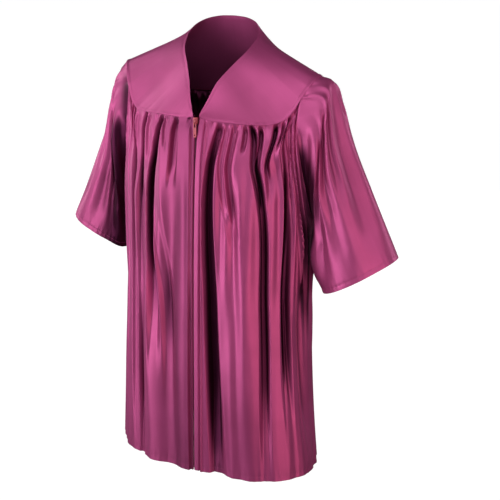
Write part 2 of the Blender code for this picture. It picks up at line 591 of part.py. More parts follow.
def armhole_shares():
    """Shares of the half girth at the armhole's stations, the corner left out."""
    way = np.linspace(0.0, 1.0, ARM_CELLS + 1)[1:]
    return CORNER_SHARE + (1 - CORNER_SHARE) * way ** (1 / ARMHOLE_SHARE_POWER)


def side_lines(down, last_fold, sign):
    """Columns that start on an armhole and run down beside the side seam."""
    shares = np.concatenate([[CORNER_SHARE], armhole_shares()])
    last = np.abs(last_fold)
    lines = []
    for index, share in enumerate(shares):
        part = (index + 1) / len(shares)
        low = [last[row] + (1 - last[row]) * part for row in range(len(down))]
        near = 1 - smooth_step(down / ARMHOLE_LINES_REACH)
        lines.append(sign * (share * near + np.array(low) * (1 - near)))
    return lines if sign > 0 else lines[::-1]


def fold_lines(folds, down):
    """The folds' own columns, in order across the cloth."""
    lines = []
    for fold in folds:
        places = [fold.seam, fold.chest, fold.middle, fold.hem]
        line = spline(FOLD_STATIONS, places, down)
        lines.append(np.maximum(line, lines[-1] + COLUMN_STEP) if lines else line)
    return lines


def filled_columns(lines):
    """The lines with columns between them: more where the lines lie far apart."""
    columns = []
    for left, right in zip(lines[:-1], lines[1:]):
        gap = np.max(right - left)
        cells = 1 + sum(gap > limit for limit in COLUMN_GAPS)
        columns += [left + (right - left) * step / cells for step in range(cells)]
    columns.append(lines[-1])
    return np.stack(columns, axis=1)


def inner_points(outer, facing, round_trip=False):
    """The inner side of a wall: moved against the facing, further on slopes so the wall stays even."""
    if round_trip:
        across = np.roll(outer, -1, axis=1) - np.roll(outer, 1, axis=1)
    else:
        across = np.gradient(outer, axis=1)
    true = unit(np.cross(across, np.gradient(outer, axis=0)))
    slant = np.clip(np.abs((true * facing).sum(axis=-1)), SLANT_LIMIT, 1.0)
    return outer - facing * (WALL / slant)[..., None]


def add_object(name, vertices, faces, material):
    """One object from points and faces, shaded smooth, with its material."""
    mesh = bpy.data.meshes.new(name)
    mesh.from_pydata([tuple(map(float, point)) for point in vertices], [], faces)
    mesh.materials.append(material)
    mesh.shade_smooth()
    mesh.update()
    piece = bpy.data.objects.new(name, mesh)
    bpy.context.scene.collection.objects.link(piece)
    return piece


def wall_object(name, outer, inner, facing, material, round_trip=False):
    """A closed wall from two grids of points, with rims along its free edges."""
    rows, columns = outer.shape[:2]
    count = rows * columns
    around = columns if round_trip else columns - 1

    def outside(row, column):
        return row * columns + column % columns

    def inside(row, column):
        return count + outside(row, column)

    faces = []
    for row in range(rows - 1):
        for column in range(around):
            quad = [(row, column), (row, column + 1), (row + 1, column + 1), (row + 1, column)]
            faces.append([outside(*corner) for corner in quad])
            faces.append([inside(*corner) for corner in reversed(quad)])
    for column in range(around):
        for row, start, stop in ((0, column + 1, column), (rows - 1, column, column + 1)):
            faces.append(
                [outside(row, start), outside(row, stop), inside(row, stop), inside(row, start)]
            )
    if not round_trip:
        for row in range(rows - 1):
            for column, start, stop in ((0, row, row + 1), (columns - 1, row + 1, row)):
                faces.append(
                    [outside(start, column), outside(stop, column)]
                    + [inside(stop, column), inside(start, column)]
                )
    middle = ((rows - 1) // 2, (columns - 1) // 2)
    across = outer[middle[0], middle[1] + 1] - outer[middle]
    along = outer[middle[0] + 1, middle[1]] - outer[middle]
    if np.dot(np.cross(across, along), facing[middle]) < 0:
        faces = [list(reversed(face)) for face in faces]
    vertices = np.concatenate([outer.reshape(-1, 3), inner.reshape(-1, 3)])
    return add_object(name, vertices, faces, material)


def grid(shares, rows):
    """Two arrays of shares for a grid of points: across and down."""
    return np.meshgrid(np.asarray(shares, float), np.asarray(rows, float))


def close_to_seams(points):
    """Half a seam's gap is left towards the sleeves."""
    points[0, :, 0] *= 1 - 0.5 * SEAM_GAP / ARMHOLE_FRONT[0].x
    return points


def build_front(name, side, folds, material):
    """A gathered front, from the yoke seam and the armhole to the hem."""
    down = np.array(PANEL_ROWS, float)
    edges = [np.zeros_like(down), np.full_like(down, PLACKET_EDGE)]
    lines = fold_lines(folds, down)
    share = filled_columns(edges + lines + side_lines(down, lines[-1], 1))
    down = np.broadcast_to(down[:, None], share.shape)
    outer, facing = front_points(side, share, down, folds)
    outer = close_to_seams(outer)
    outer[0, :, 2] -= SEAM_GAP * (share[0] <= CORNER_SHARE + CORNER_REACH)
    outer[:, -1, 1] -= 0.5 * SEAM_GAP
    facing[:, -1] = (side, 0, 0)
    facing[0] = shoulder_facing(outer[0])
    return wall_object(name, outer, inner_points(outer, facing), facing, material)


def build_back(name, folds, material):
    """The gathered back, from side seam to side seam."""
    down = np.array(PANEL_ROWS, float)
    lines = fold_lines(folds, down)
    right, left = side_lines(down, lines[0], -1), side_lines(down, lines[-1], 1)
    share = filled_columns(right + lines + left)
    down = np.broadcast_to(down[:, None], share.shape)
    outer, facing = back_points(share, down, folds)
    outer = close_to_seams(outer)
    outer[0, :, 2] -= SEAM_GAP * (np.abs(share[0]) <= CORNER_SHARE + CORNER_REACH)
    outer[:, (0, -1), 1] += 0.5 * SEAM_GAP
    facing[:, 0] = (-1, 0, 0)
    facing[:, -1] = (1, 0, 0)
    facing[0] = shoulder_facing(outer[0])
    return wall_object(name, outer, inner_points(outer, facing), facing, material)


def yoke_shares():
    """Shares along half a yoke, with a column at the corner of seam and armhole."""
    seam = np.linspace(0, YOKE_CORNER, YOKE_SEAM_CELLS + 1)
    end = np.linspace(YOKE_CORNER, 1, YOKE_END_CELLS + 1)
    return np.concatenate([seam, end[1:]])


def shoulder_seam_facing(side):
    """The way the cloth faces along a shoulder seam."""
    neck, tip = NECKLINE_FRONT[-1], YOKE_END_FRONT[-1]
    return unit(np.array([side * (neck.z - tip.z), 0.0, tip.x - neck.x]))


def build_yoke_front(name, side, material):
    """Half of the yoke's front, from the zip to the shoulder seam."""
    share, down = grid(yoke_shares(), YOKE_ROWS)
    inside = np.clip(share, FACING_STEP, 1 - FACING_STEP)
    facing = side * -facing_of(lambda a, b: yoke_shell(side, False, a, b), inside, down)
    outer = yoke_shell(side, False, share, down)
    outer = close_to_seams(outer[::-1])[::-1]
    outer[:, -1, 1] -= 0.5 * SEAM_GAP
    facing[:, -1] = shoulder_seam_facing(side)
    facing[-1] = shoulder_facing(outer[-1])
    return wall_object(name, outer, inner_points(outer, facing), facing, material)


def build_yoke_back(name, material):
    """The yoke's back, from shoulder seam to shoulder seam."""

    def shell(around, height):
        left = yoke_shell(1, True, np.abs(around), height)
        right = yoke_shell(-1, True, np.abs(around), height)
        return np.where((around >= 0)[..., None], left, right)

    half = yoke_shares()
    share, down = grid(np.concatenate([-half[:0:-1], half]), YOKE_ROWS)
    facing = facing_of(shell, np.clip(share, -0.996, 0.996), down)
    outer = shell(share, down)
    outer = close_to_seams(outer[::-1])[::-1]
    outer[:, (0, -1), 1] += 0.5 * SEAM_GAP
    facing[:, 0] = shoulder_seam_facing(-1)
    facing[:, -1] = shoulder_seam_facing(1)
    facing[-1] = shoulder_facing(outer[-1])
    return wall_object(name, outer, inner_points(outer, facing), facing, material)


def sleeve_stations():
    """Shares round the armhole of the sleeve's columns: every station, and halves in the gathered cap."""
    ends = np.linspace(0.0, ARM_CORNER, YOKE_END_CELLS + 1)
    arm = np.linspace(ARM_CORNER, 0.5, ARM_CELLS + 1)
    halves = (arm[1:] + arm[:-1]) / 2
    half_round = np.unique(np.concatenate([ends, arm, halves[halves < SLEEVE_CAP_SHARE]]))
    return np.concatenate([half_round, 1 - half_round[-2:0:-1]])


def build_sleeve(name, side, folds, material):
    """An open bell sleeve, gathered into its armhole."""
    stations = sleeve_stations()
    around, down = grid(stations, SLEEVE_ROWS)
    order = sorted(folds, key=lambda fold: (fold.seam + 0.5) % 1.0)
    seams = [-0.5] + [(fold.seam + 0.5) % 1.0 - 0.5 for fold in order] + [0.5]
    signed = (stations + 0.5) % 1.0 - 0.5
    for row, share in enumerate(SLEEVE_ROWS):
        moves = [0.0]
        for fold in order:
            places = [fold.seam, fold.chest, fold.middle, fold.hem]
            moves.append(float(spline(FOLD_STATIONS, places, share)) - fold.seam)
        around[row] += np.interp(signed, seams, moves + [0.0])
    outer, facing = sleeve_points(side, around, down, folds)
    outer[0, :, 0] += side * 0.5 * SEAM_GAP
    facing[0] = shoulder_facing(outer[0])
    inner = inner_points(outer, facing, round_trip=True)
    return wall_object(name, outer, inner, facing, material, round_trip=True)


def build_tape(name, side, material):
    """A zip tape behind a front edge."""
    rows = [row for row in PANEL_ROWS if 0 < row < TAPE_LOWEST] + [TAPE_LOWEST]
    share, down = grid(TAPE_SHARES, rows)
    facing = side * -facing_of(lambda a, b: panel_shell(side, False, a, b), share, down)
    outer = panel_shell(side, False, share, down) - facing * (WALL + SEAM_GAP)
    return wall_object(name, outer, outer - facing * TAPE_THICKNESS, facing, material)


def build_chain(name, material):
    """The closed coil of the zip, a strip behind the slot."""
    first = (CHAIN_TOP_Z - YOKE_SEAM_FRONT[0].z) / (HEM_Z - YOKE_SEAM_FRONT[0].z)
    rows = [first] + [row for row in PANEL_ROWS if first < row < TAPE_LOWEST] + [TAPE_LOWEST]
    share, down = grid((0.0, 0.0), rows)
    middle = panel_shell(1, False, share, down)
    middle[..., 0] = 0.0
    facing = np.zeros_like(middle)
    facing[..., 1] = -1
    outer = middle - facing * (WALL + SEAM_GAP)
    outer[:, 0, 0] -= CHAIN_WIDTH / 2
    outer[:, 1, 0] += CHAIN_WIDTH / 2
    return wall_object(name, outer, outer - facing * CHAIN_THICKNESS, facing, material)


def prism(name, outline, low, high, axis, material):
    """An outline of (first, second) pairs pulled out along X or Y between two values."""
    vertices = []
    for value in (low, high):
        for first, second in outline:
            vertices.append((value, first, second) if axis == "X" else (first, value, second))
    count = len(outline)
    faces = [list(range(count)), list(range(2 * count - 1, count - 1, -1))]
    for start in range(count):
        stop = (start + 1) % count
        faces.append([start, start + count, stop + count, stop])
    piece = add_object(name, vertices, faces, material)
    mend = bmesh.new()
    mend.from_mesh(piece.data)
    bmesh.ops.recalc_face_normals(mend, faces=mend.faces)
    mend.to_mesh(piece.data)
    mend.free()
    piece.data.shade_flat()
    return piece


def arc(centre, radius_first, radius_second, start, stop, steps):
    """Points of an elliptical arc, in degrees."""
    angles = [math.radians(start + (stop - start) * step / steps) for step in range(steps + 1)]
    return [
        (centre[0] + radius_first * math.cos(a), centre[1] + radius_second * math.sin(a)) for a in angles
    ]


def cut_or_join(piece, tool, operation):
    """Blender's exact Boolean with a tool that is then hidden from the model."""
    modifier = piece.modifiers.new(tool.name, "BOOLEAN")
    modifier.operation = operation
    modifier.solver = "EXACT"
    modifier.object = tool
    tool.hide_render = True
    tool.display_type = "WIRE"


def build_slider(name, material):
    """The slider's body with its crown, the arch that holds the pull."""
    top, bottom = SLIDER_TOP_WIDTH / 2, SLIDER_BOTTOM_WIDTH / 2
    corner = SLIDER_CORNER
    outline = [
        (bottom, SLIDER_BOTTOM_Z + corner),
        (top, SLIDER_TOP_Z - corner),
        (top - corner, SLIDER_TOP_Z),
        (-top + corner, SLIDER_TOP_Z),
        (-top, SLIDER_TOP_Z - corner),
        (-bottom, SLIDER_BOTTOM_Z + corner),
        (-bottom + corner, SLIDER_BOTTOM_Z),
        (bottom - corner, SLIDER_BOTTOM_Z),
    ]
    body = prism(name, outline, SLIDER_FACE_Y, SLIDER_BACK_Y, "Y", material)
    middle_z = (CROWN_TOP_Z + CROWN_BOTTOM_Z) / 2
    half = (CROWN_TOP_Z - CROWN_BOTTOM_Z) / 2
    centre = (SLIDER_FACE_Y, middle_z)
    root = SLIDER_FACE_Y + CROWN_ROOT
    outside = rounded_arch(centre, CROWN_HEIGHT, half, CROWN_SQUARE)
    inside = rounded_arch(centre, CROWN_HEIGHT - CROWN_BAR, half - CROWN_BAR, CROWN_SQUARE)
    feet_out = [(root, middle_z + half)]
    feet_in = [(root, middle_z + half - CROWN_BAR)]
    band = feet_out + outside + [(root, middle_z - half), (root, middle_z - half + CROWN_BAR)]
    band += inside[::-1] + feet_in
    crown = prism("crown", band, -CROWN_WIDTH / 2, CROWN_WIDTH / 2, "X", material)
    cut_or_join(body, crown, "UNION")
    return body


def rounded_arch(centre, height, half, square):
    """An arch that stands out towards the front, from its upper to its lower foot."""
    points = []
    for step in range(CROWN_STEPS + 1):
        angle = math.pi * step / CROWN_STEPS
        reach = (abs(math.cos(angle)) ** square + abs(math.sin(angle)) ** square) ** (-1 / square)
        points.append(
            (centre[0] - height * reach * math.sin(angle), centre[1] + half * reach * math.cos(angle))
        )
    return points


def build_pull(name, material):
    """The pull tab with its window and hole, hanging on the crown. Its origin is the joint's axis."""
    half_top, half = PULL_TOP_WIDTH / 2, PULL_WIDTH / 2
    top_z = PULL_BAR / 2
    shoulder = PULL_SHOULDER_Z - PULL_AXIS_Z
    end = PULL_END_Z - PULL_AXIS_Z
    corner = PULL_CORNER
    outline = arc((half_top - corner, top_z - corner), corner, corner, 0, 90, 3)
    outline += arc((-half_top + corner, top_z - corner), corner, corner, 90, 180, 3)
    outline += [(-half_top, shoulder), (-half, shoulder - PULL_SHOULDER_DROP)]
    outline += arc((0.0, end + half), half, half, 180, 360, 12)
    outline += [(half, shoulder - PULL_SHOULDER_DROP), (half_top, shoulder)]
    low, high = -PULL_THICKNESS / 2, PULL_THICKNESS / 2
    plate = prism(name, outline, low, high, "Y", material)
    window_top, window_low = -PULL_BAR / 2, PULL_WINDOW_BOTTOM_Z - PULL_AXIS_Z
    wide = PULL_WINDOW_WIDTH / 2
    opening = [(wide, window_top), (-wide, window_top)]
    opening += arc((0.0, window_low + wide), wide, wide, 180, 360, 8)
    hole = arc((0.0, PULL_HOLE_Z - PULL_AXIS_Z), PULL_HOLE_RADIUS, PULL_HOLE_RADIUS, 0, 345, 23)
    window = prism("pull_window_cutter", opening, 3 * low, 3 * high, "Y", material)
    eye = prism("pull_hole_cutter", hole, 3 * low, 3 * high, "Y", material)
    for cutter in (window, eye):
        cut_or_join(plate, cutter, "DIFFERENCE")
        cutter.parent = plate
    plate.location = (0.0, PULL_AXIS_Y, PULL_AXIS_Z)
    return plate


def make_material(name, colour, roughness, metallic):
    """A Principled material."""
    material = bpy.data.materials.new(name)
    material.use_nodes = True
    shader = material.node_tree.nodes["Principled BSDF"]
    shader.inputs["Base Color"].default_value = (*colour, 1.0)
    shader.inputs["Roughness"].default_value = roughness
    shader.inputs["Metallic"].default_value = metallic
    return material


def main():
    for old in list(bpy.data.objects):
        bpy.data.objects.remove(old, do_unlink=True)
    satin = make_material("orchid_satin", (0.36, 0.045, 0.19), 0.32, 0.0)
    tape = make_material("zip_tape_weave", (0.12, 0.012, 0.05), 0.75, 0.0)
    coil = make_material("zip_coil_nylon", (0.09, 0.010, 0.04), 0.45, 0.0)
    paint = make_material("coral_paint", (0.70, 0.16, 0.17), 0.40, 0.2)
    build_yoke_front("yoke_front_left", 1, satin)
    build_yoke_front("yoke_front_right", -1, satin)
    build_yoke_back("yoke_back", satin)
    build_front("front_left", 1, FOLDS_FRONT_LEFT, satin)
    build_front("front_right", -1, FOLDS_FRONT_RIGHT, satin)
    build_back("back", FOLDS_BACK, satin)
    build_sleeve("sleeve_left", 1, FOLDS_SLEEVE, satin)
    build_sleeve("sleeve_right", -1, FOLDS_SLEEVE, satin)
    build_tape("zip_tape_left", 1, tape)
    build_tape("zip_tape_right", -1, tape)
    build_chain("zip_chain", coil)
    build_slider("zip_slider", paint)
    build_pull("zip_pull", paint)


main()
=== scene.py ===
"""Looks of a child's satin choir robe, worn.

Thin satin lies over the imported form, with its sewing and its zip, in a studio.

Metres. X runs to the wearer's left, -Y to the front and Z up. The origin is midway between the
shoulder tips, at their height.
"""

import logging
import math
from dataclasses import dataclass
from enum import Enum
from typing import Callable, NamedTuple, Sequence

import bpy
import numpy as np
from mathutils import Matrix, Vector


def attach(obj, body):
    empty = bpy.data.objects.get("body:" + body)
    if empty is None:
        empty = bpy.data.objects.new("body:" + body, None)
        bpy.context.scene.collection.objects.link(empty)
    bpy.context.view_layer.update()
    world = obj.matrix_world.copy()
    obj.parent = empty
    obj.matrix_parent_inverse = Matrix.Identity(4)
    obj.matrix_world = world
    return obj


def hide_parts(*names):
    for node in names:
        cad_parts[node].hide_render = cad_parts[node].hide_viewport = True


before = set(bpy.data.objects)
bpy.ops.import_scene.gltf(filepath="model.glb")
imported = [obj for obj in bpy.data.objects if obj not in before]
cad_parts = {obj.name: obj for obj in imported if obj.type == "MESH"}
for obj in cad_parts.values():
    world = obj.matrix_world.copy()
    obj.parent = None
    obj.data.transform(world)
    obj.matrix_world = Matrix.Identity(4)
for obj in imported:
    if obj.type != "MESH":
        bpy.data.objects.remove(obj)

# Short names for the types of pieces, finishes and sizes
Array = np.ndarray
Piece = bpy.types.Object
Material = bpy.types.Material
Pair = tuple[float, float]
Triple = tuple[float, float, float]

LOG = logging.getLogger("choir_robe")

# Sizes of the robe, in metres. A girth is that of a front or of half the back
CLOTH = 0.0008
HEM_Z = -0.705
GIRTH_AT_SEAM = 0.235
GIRTH_AT_HEM = 0.285
SLEEVE_GIRTH = 0.42
RIGHT_SEAM_RISE = 0.005
ZIP_MOUTH_REACH = 0.024
YOKE_CROWN = 0.002

# How far the armhole's edge draws the body in, below it and beside it
EDGE_REACH = 0.08
ARMHOLE_REACH = 0.040

# Shares of an edge at which the yoke seam or the shoulder ends and the armhole starts
CORNER_SHARE = 0.72
YOKE_CORNER = 0.80
ARM_CORNER = 0.08
ARMHOLE_SHARE_POWER = 0.75
ARM_CELLS = 12
YOKE_END_CELLS = 5

# How gathered cloth stands out below its seam
PUFF_DEPTH = 0.004
PUFF_BELOW = 0.030
PUFF_END = 0.220
PUFF_LAST_SHARE = 0.88
PUFF_SHARE_FADE = 0.14

# Where folds and gathers fade in: distances below a seam, and shares beside a side seam or down a sleeve
SEAM_FADE = 0.017
GATHER_START = 0.004
SIDE_FADE = 0.05
SLEEVE_SEAM_FADE = 0.11

# Powers that crowd the rows of a grid to its seam
ROW_POWER = 1.35
YOKE_ROW_POWER = 1.3
SLEEVE_ROW_POWER = 1.25

# How far the wave texture goes on in one of its waves
WAVE_TURN = 6.283

# The step in shares at which a shell's facing is read, and the least slant of a fold's wall
FACING_STEP = 0.004
SLANT_LIMIT = 0.4

# Rounded edges of the zip's metal, and the angle in degrees above which an edge is rounded
BEVEL_SEGMENTS = 3
BEVEL_ANGLE = 32.0

ORCHID_SATIN = "orchid_satin"
CORAL_PAINT = "coral_paint"
TAPE_WEAVE = "zip_tape_weave"
COIL_NYLON = "zip_coil_nylon"
CLOTH_UV = "cloth"
# The point attribute that holds the painted shade of each piece of satin
PAINTED_SHADE = "painted_shade"


class Side(Enum):
    """The wearer's sides. The value is the sign of X."""

    LEFT = 1
    RIGHT = -1


class Level(NamedTuple):
    """A level section of the body."""

    z: float
    half_left: float
    half_right: float
    side_y: float
    front: float
    square_left: float
    square_right: float
    back: float
    square_back: float


class Point(NamedTuple):
    """A point of a seam or an edge, on the wearer's left."""

    x: float
    y: float
    z: float


class Slot(NamedTuple):
    """Half the space between the front edges at a height."""

    z: float
    half: float


class Ring(NamedTuple):
    """A ring of a sleeve: its outer and inner side, its middle in Y and its half depth."""

    share: float
    outer_x: float
    outer_z: float
    inner_x: float
    inner_z: float
    middle_y: float
    half_depth: float


class Fold(NamedTuple):
    """A fold that runs down from a seam: its places, widths and depths on the way, and where it ends."""

    seam: float
    chest: float
    middle: float
    hem: float
    wide_seam: float
    wide_hem: float
    deep_seam: float
    deep_chest: float
    deep_middle: float
    deep_hem: float
    end: float


class Waves(NamedTuple):
    """A set of soft waves: how many, and the ranges from which their turns, drift and swell are drawn."""

    count: int
    turns: Pair
    whole_turns: tuple[int, int]
    drift: float
    steady: float
    swell_turns: Pair
    lower_fade: float


class Light(NamedTuple):
    """A soft light: where it hangs, what it points at, its width and height, its watts and its colour."""

    name: str
    place: Triple
    aim: Triple
    size: Pair
    power: float
    colour: Triple = (1.0, 1.0, 1.0)


BODY_LEVELS: tuple[Level, ...] = (
    Level(0.000, 0.168, 0.170, -0.015, 0.1060, 2.0, 2.0, 0.070, 2.0),
    Level(-0.060, 0.169, 0.174, -0.015, 0.1150, 2.1, 2.0, 0.080, 2.1),
    Level(-0.130, 0.170, 0.180, -0.015, 0.1245, 2.2, 2.1, 0.086, 2.1),
    Level(-0.250, 0.171, 0.182, -0.020, 0.1345, 2.5, 2.1, 0.084, 2.1),
    Level(-0.400, 0.172, 0.181, -0.030, 0.1405, 2.8, 2.1, 0.078, 2.1),
    Level(-0.560, 0.180, 0.186, -0.040, 0.1445, 3.0, 2.1, 0.077, 2.1),
    Level(-0.705, 0.193, 0.190, -0.045, 0.1480, 3.2, 2.1, 0.080, 2.0),
)

YOKE_SEAM_FRONT: tuple[Point, ...] = (
    Point(0.0000, -0.1150, -0.0620),
    Point(0.0300, -0.1110, -0.0670),
    Point(0.0620, -0.1030, -0.0695),
    Point(0.0900, -0.0930, -0.0710),
    Point(0.1180, -0.0805, -0.0705),
    Point(0.1370, -0.0705, -0.0640),
    Point(0.1500, -0.0620, -0.0500),
    Point(0.1600, -0.0525, -0.0300),
)
YOKE_END_FRONT: tuple[Point, ...] = (
    Point(0.1600, -0.0525, -0.0300),
    Point(0.1700, -0.0385, -0.0105),
    Point(0.1770, -0.0260, 0.0005),
    Point(0.1800, -0.0150, 0.0030),
)
ARMHOLE_FRONT: tuple[Point, ...] = (
    Point(0.1600, -0.0525, -0.0300),
    Point(0.1585, -0.0610, -0.0650),
    Point(0.1600, -0.0620, -0.1000),
    Point(0.1650, -0.0540, -0.1500),
    Point(0.1700, -0.0400, -0.2000),
    Point(0.1725, -0.0270, -0.2330),
    Point(0.1735, -0.0140, -0.2450),
)
YOKE_SEAM_BACK: tuple[Point, ...] = (
    Point(0.0000, 0.0820, -0.0560),
    Point(0.0400, 0.0790, -0.0590),
    Point(0.0800, 0.0710, -0.0600),
    Point(0.1150, 0.0590, -0.0580),
    Point(0.1400, 0.0470, -0.0480),
    Point(0.1600, 0.0300, -0.0270),
)
YOKE_END_BACK: tuple[Point, ...] = (
    Point(0.1600, 0.0300, -0.0270),
    Point(0.1700, 0.0140, -0.0090),
    Point(0.1770, 0.0000, 0.0005),
    Point(0.1800, -0.0150, 0.0030),
)
ARMHOLE_BACK: tuple[Point, ...] = (
    Point(0.1600, 0.0300, -0.0270),
    Point(0.1590, 0.0380, -0.0650),
    Point(0.1605, 0.0380, -0.1000),
    Point(0.1655, 0.0280, -0.1500),
    Point(0.1700, 0.0120, -0.2000),
    Point(0.1725, -0.0020, -0.2330),
    Point(0.1735, -0.0140, -0.2450),
)
NECKLINE_FRONT: tuple[Point, ...] = (
    Point(0.0040, -0.1130, -0.0515),
    Point(0.0120, -0.1060, -0.0370),
    Point(0.0250, -0.0880, -0.0080),
    Point(0.0400, -0.0650, 0.0150),
    Point(0.0580, -0.0360, 0.0395),
    Point(0.0642, -0.0100, 0.0560),
)
NECKLINE_BACK: tuple[Point, ...] = (
    Point(0.0642, -0.0100, 0.0560),
    Point(0.0610, 0.0080, 0.0675),
    Point(0.0480, 0.0250, 0.0770),
    Point(0.0260, 0.0360, 0.0825),
    Point(0.0000, 0.0400, 0.0840),
)

ZIP_SLOT: tuple[Slot, ...] = (
    Slot(-0.050, 0.0052),
    Slot(-0.066, 0.0050),
    Slot(-0.076, 0.0040),
    Slot(-0.086, 0.0024),
    Slot(-0.110, 0.0016),
    Slot(-0.150, 0.0008),
    Slot(-0.710, 0.0008),
)

SLEEVE_RINGS_LEFT: tuple[Ring, ...] = (
    Ring(0.07, 0.2015, -0.0035, 0.1800, -0.2540, -0.013, 0.056),
    Ring(0.15, 0.2135, -0.0300, 0.1820, -0.2660, -0.013, 0.059),
    Ring(0.35, 0.2350, -0.0940, 0.1835, -0.2980, -0.014, 0.062),
    Ring(0.65, 0.2755, -0.1900, 0.1860, -0.3380, -0.014, 0.064),
    Ring(1.00, 0.3240, -0.2990, 0.1960, -0.3740, -0.014, 0.066),
)
SLEEVE_RINGS_RIGHT: tuple[Ring, ...] = (
    Ring(0.07, 0.1955, -0.0120, 0.1830, -0.2540, -0.011, 0.051),
    Ring(0.15, 0.2045, -0.0380, 0.1870, -0.2655, -0.009, 0.051),
    Ring(0.35, 0.2245, -0.0990, 0.1900, -0.2940, -0.006, 0.049),
    Ring(0.65, 0.2615, -0.1920, 0.1930, -0.3230, -0.004, 0.045),
    Ring(1.00, 0.3050, -0.2910, 0.2000, -0.3500, -0.001, 0.040),
)

# Shares of the height that a fold's seam, chest, middle and hem stand for. A depth below 0 is a ridge
FOLD_STATIONS = (0.0, 0.15, 0.5, 1.0)

# The fronts' folds: shares run from the zip to the side seam
FOLDS_FRONT_LEFT: tuple[Fold, ...] = (
    Fold(0.152, 0.108, 0.122, 0.165, 0.008, 0.032, 0.007, 0.012, 0.014, 0.014, 1.0),
    Fold(0.200, 0.215, 0.430, 0.600, 0.006, 0.018, 0.003, 0.003, 0.001, 0.000, 0.36),
    Fold(0.248, 0.272, 0.430, 0.600, 0.008, 0.017, 0.004, 0.006, 0.002, 0.000, 0.32),
    Fold(0.312, 0.365, 0.430, 0.500, 0.006, 0.012, 0.007, 0.003, 0.000, 0.000, 0.08),
    Fold(0.352, 0.478, 0.540, 0.548, 0.007, 0.022, 0.009, 0.009, 0.010, 0.005, 1.0),
    Fold(0.402, 0.500, 0.535, 0.540, 0.006, 0.014, 0.009, 0.008, 0.000, 0.000, 0.24),
    Fold(0.500, 0.582, 0.600, 0.610, 0.010, 0.062, 0.003, 0.005, 0.000, 0.000, 0.225),
    Fold(0.500, 0.560, 0.580, 0.590, 0.006, 0.014, 0.008, 0.004, 0.000, 0.000, 0.17),
    Fold(0.550, 0.630, 0.660, 0.680, 0.006, 0.010, 0.006, 0.001, 0.000, 0.000, 0.09),
    Fold(0.600, 0.682, 0.690, 0.720, 0.006, 0.016, 0.007, 0.005, 0.004, 0.001, 0.90),
    Fold(0.640, 0.705, 0.715, 0.735, 0.008, 0.030, 0.002, 0.003, 0.010, 0.003, 0.98),
    Fold(0.660, 0.790, 0.862, 0.880, 0.007, 0.034, 0.004, 0.006, 0.006, 0.002, 1.0),
    Fold(0.630, 0.742, 0.800, 0.835, 0.007, 0.030, 0.002, 0.003, 0.004, 0.001, 1.0),
    Fold(0.700, 0.870, 0.920, 0.930, 0.007, 0.036, 0.003, 0.008, 0.004, 0.002, 1.0),
    Fold(0.172, 0.185, 0.225, 0.305, 0.016, 0.070, 0.000, -0.003, -0.004, -0.003, 1.0),
    Fold(0.290, 0.320, 0.395, 0.425, 0.014, 0.060, 0.000, -0.003, -0.004, -0.002, 1.0),
)
FOLDS_FRONT_RIGHT: tuple[Fold, ...] = (
    Fold(0.275, 0.392, 0.372, 0.340, 0.006, 0.034, 0.008, 0.016, 0.009, 0.001, 0.78),
    Fold(0.395, 0.445, 0.445, 0.420, 0.020, 0.075, 0.000, 0.004, 0.003, 0.000, 0.80),
    Fold(0.330, 0.345, 0.255, 0.215, 0.010, 0.034, 0.000, 0.002, 0.005, 0.001, 0.90),
    Fold(0.160, 0.197, 0.215, 0.220, 0.007, 0.034, 0.008, 0.006, 0.000, 0.000, 0.20),
    Fold(0.238, 0.256, 0.270, 0.280, 0.007, 0.010, 0.004, 0.002, 0.000, 0.000, 0.10),
    Fold(0.385, 0.440, 0.450, 0.450, 0.007, 0.012, 0.004, 0.002, 0.000, 0.000, 0.14),
    Fold(0.425, 0.500, 0.518, 0.498, 0.006, 0.017, 0.008, 0.008, 0.003, 0.009, 1.0),
    Fold(0.500, 0.548, 0.570, 0.560, 0.010, 0.044, 0.002, 0.004, 0.000, 0.000, 0.25),
    Fold(0.555, 0.586, 0.600, 0.555, 0.006, 0.018, 0.009, 0.008, 0.004, 0.002, 1.0),
    Fold(0.595, 0.640, 0.675, 0.670, 0.008, 0.026, 0.004, 0.003, 0.002, 0.001, 1.0),
    Fold(0.630, 0.705, 0.735, 0.740, 0.007, 0.034, 0.003, 0.002, 0.002, 0.001, 1.0),
    Fold(0.665, 0.770, 0.805, 0.810, 0.007, 0.034, 0.003, 0.002, 0.003, 0.004, 1.0),
    Fold(0.695, 0.860, 0.890, 0.895, 0.007, 0.038, 0.003, 0.002, 0.003, 0.003, 1.0),
    Fold(0.110, 0.130, 0.120, 0.100, 0.016, 0.060, 0.000, 0.000, -0.002, -0.003, 1.0),
    Fold(0.320, 0.250, 0.400, 0.350, 0.016, 0.070, 0.000, 0.000, -0.004, -0.004, 1.0),
)

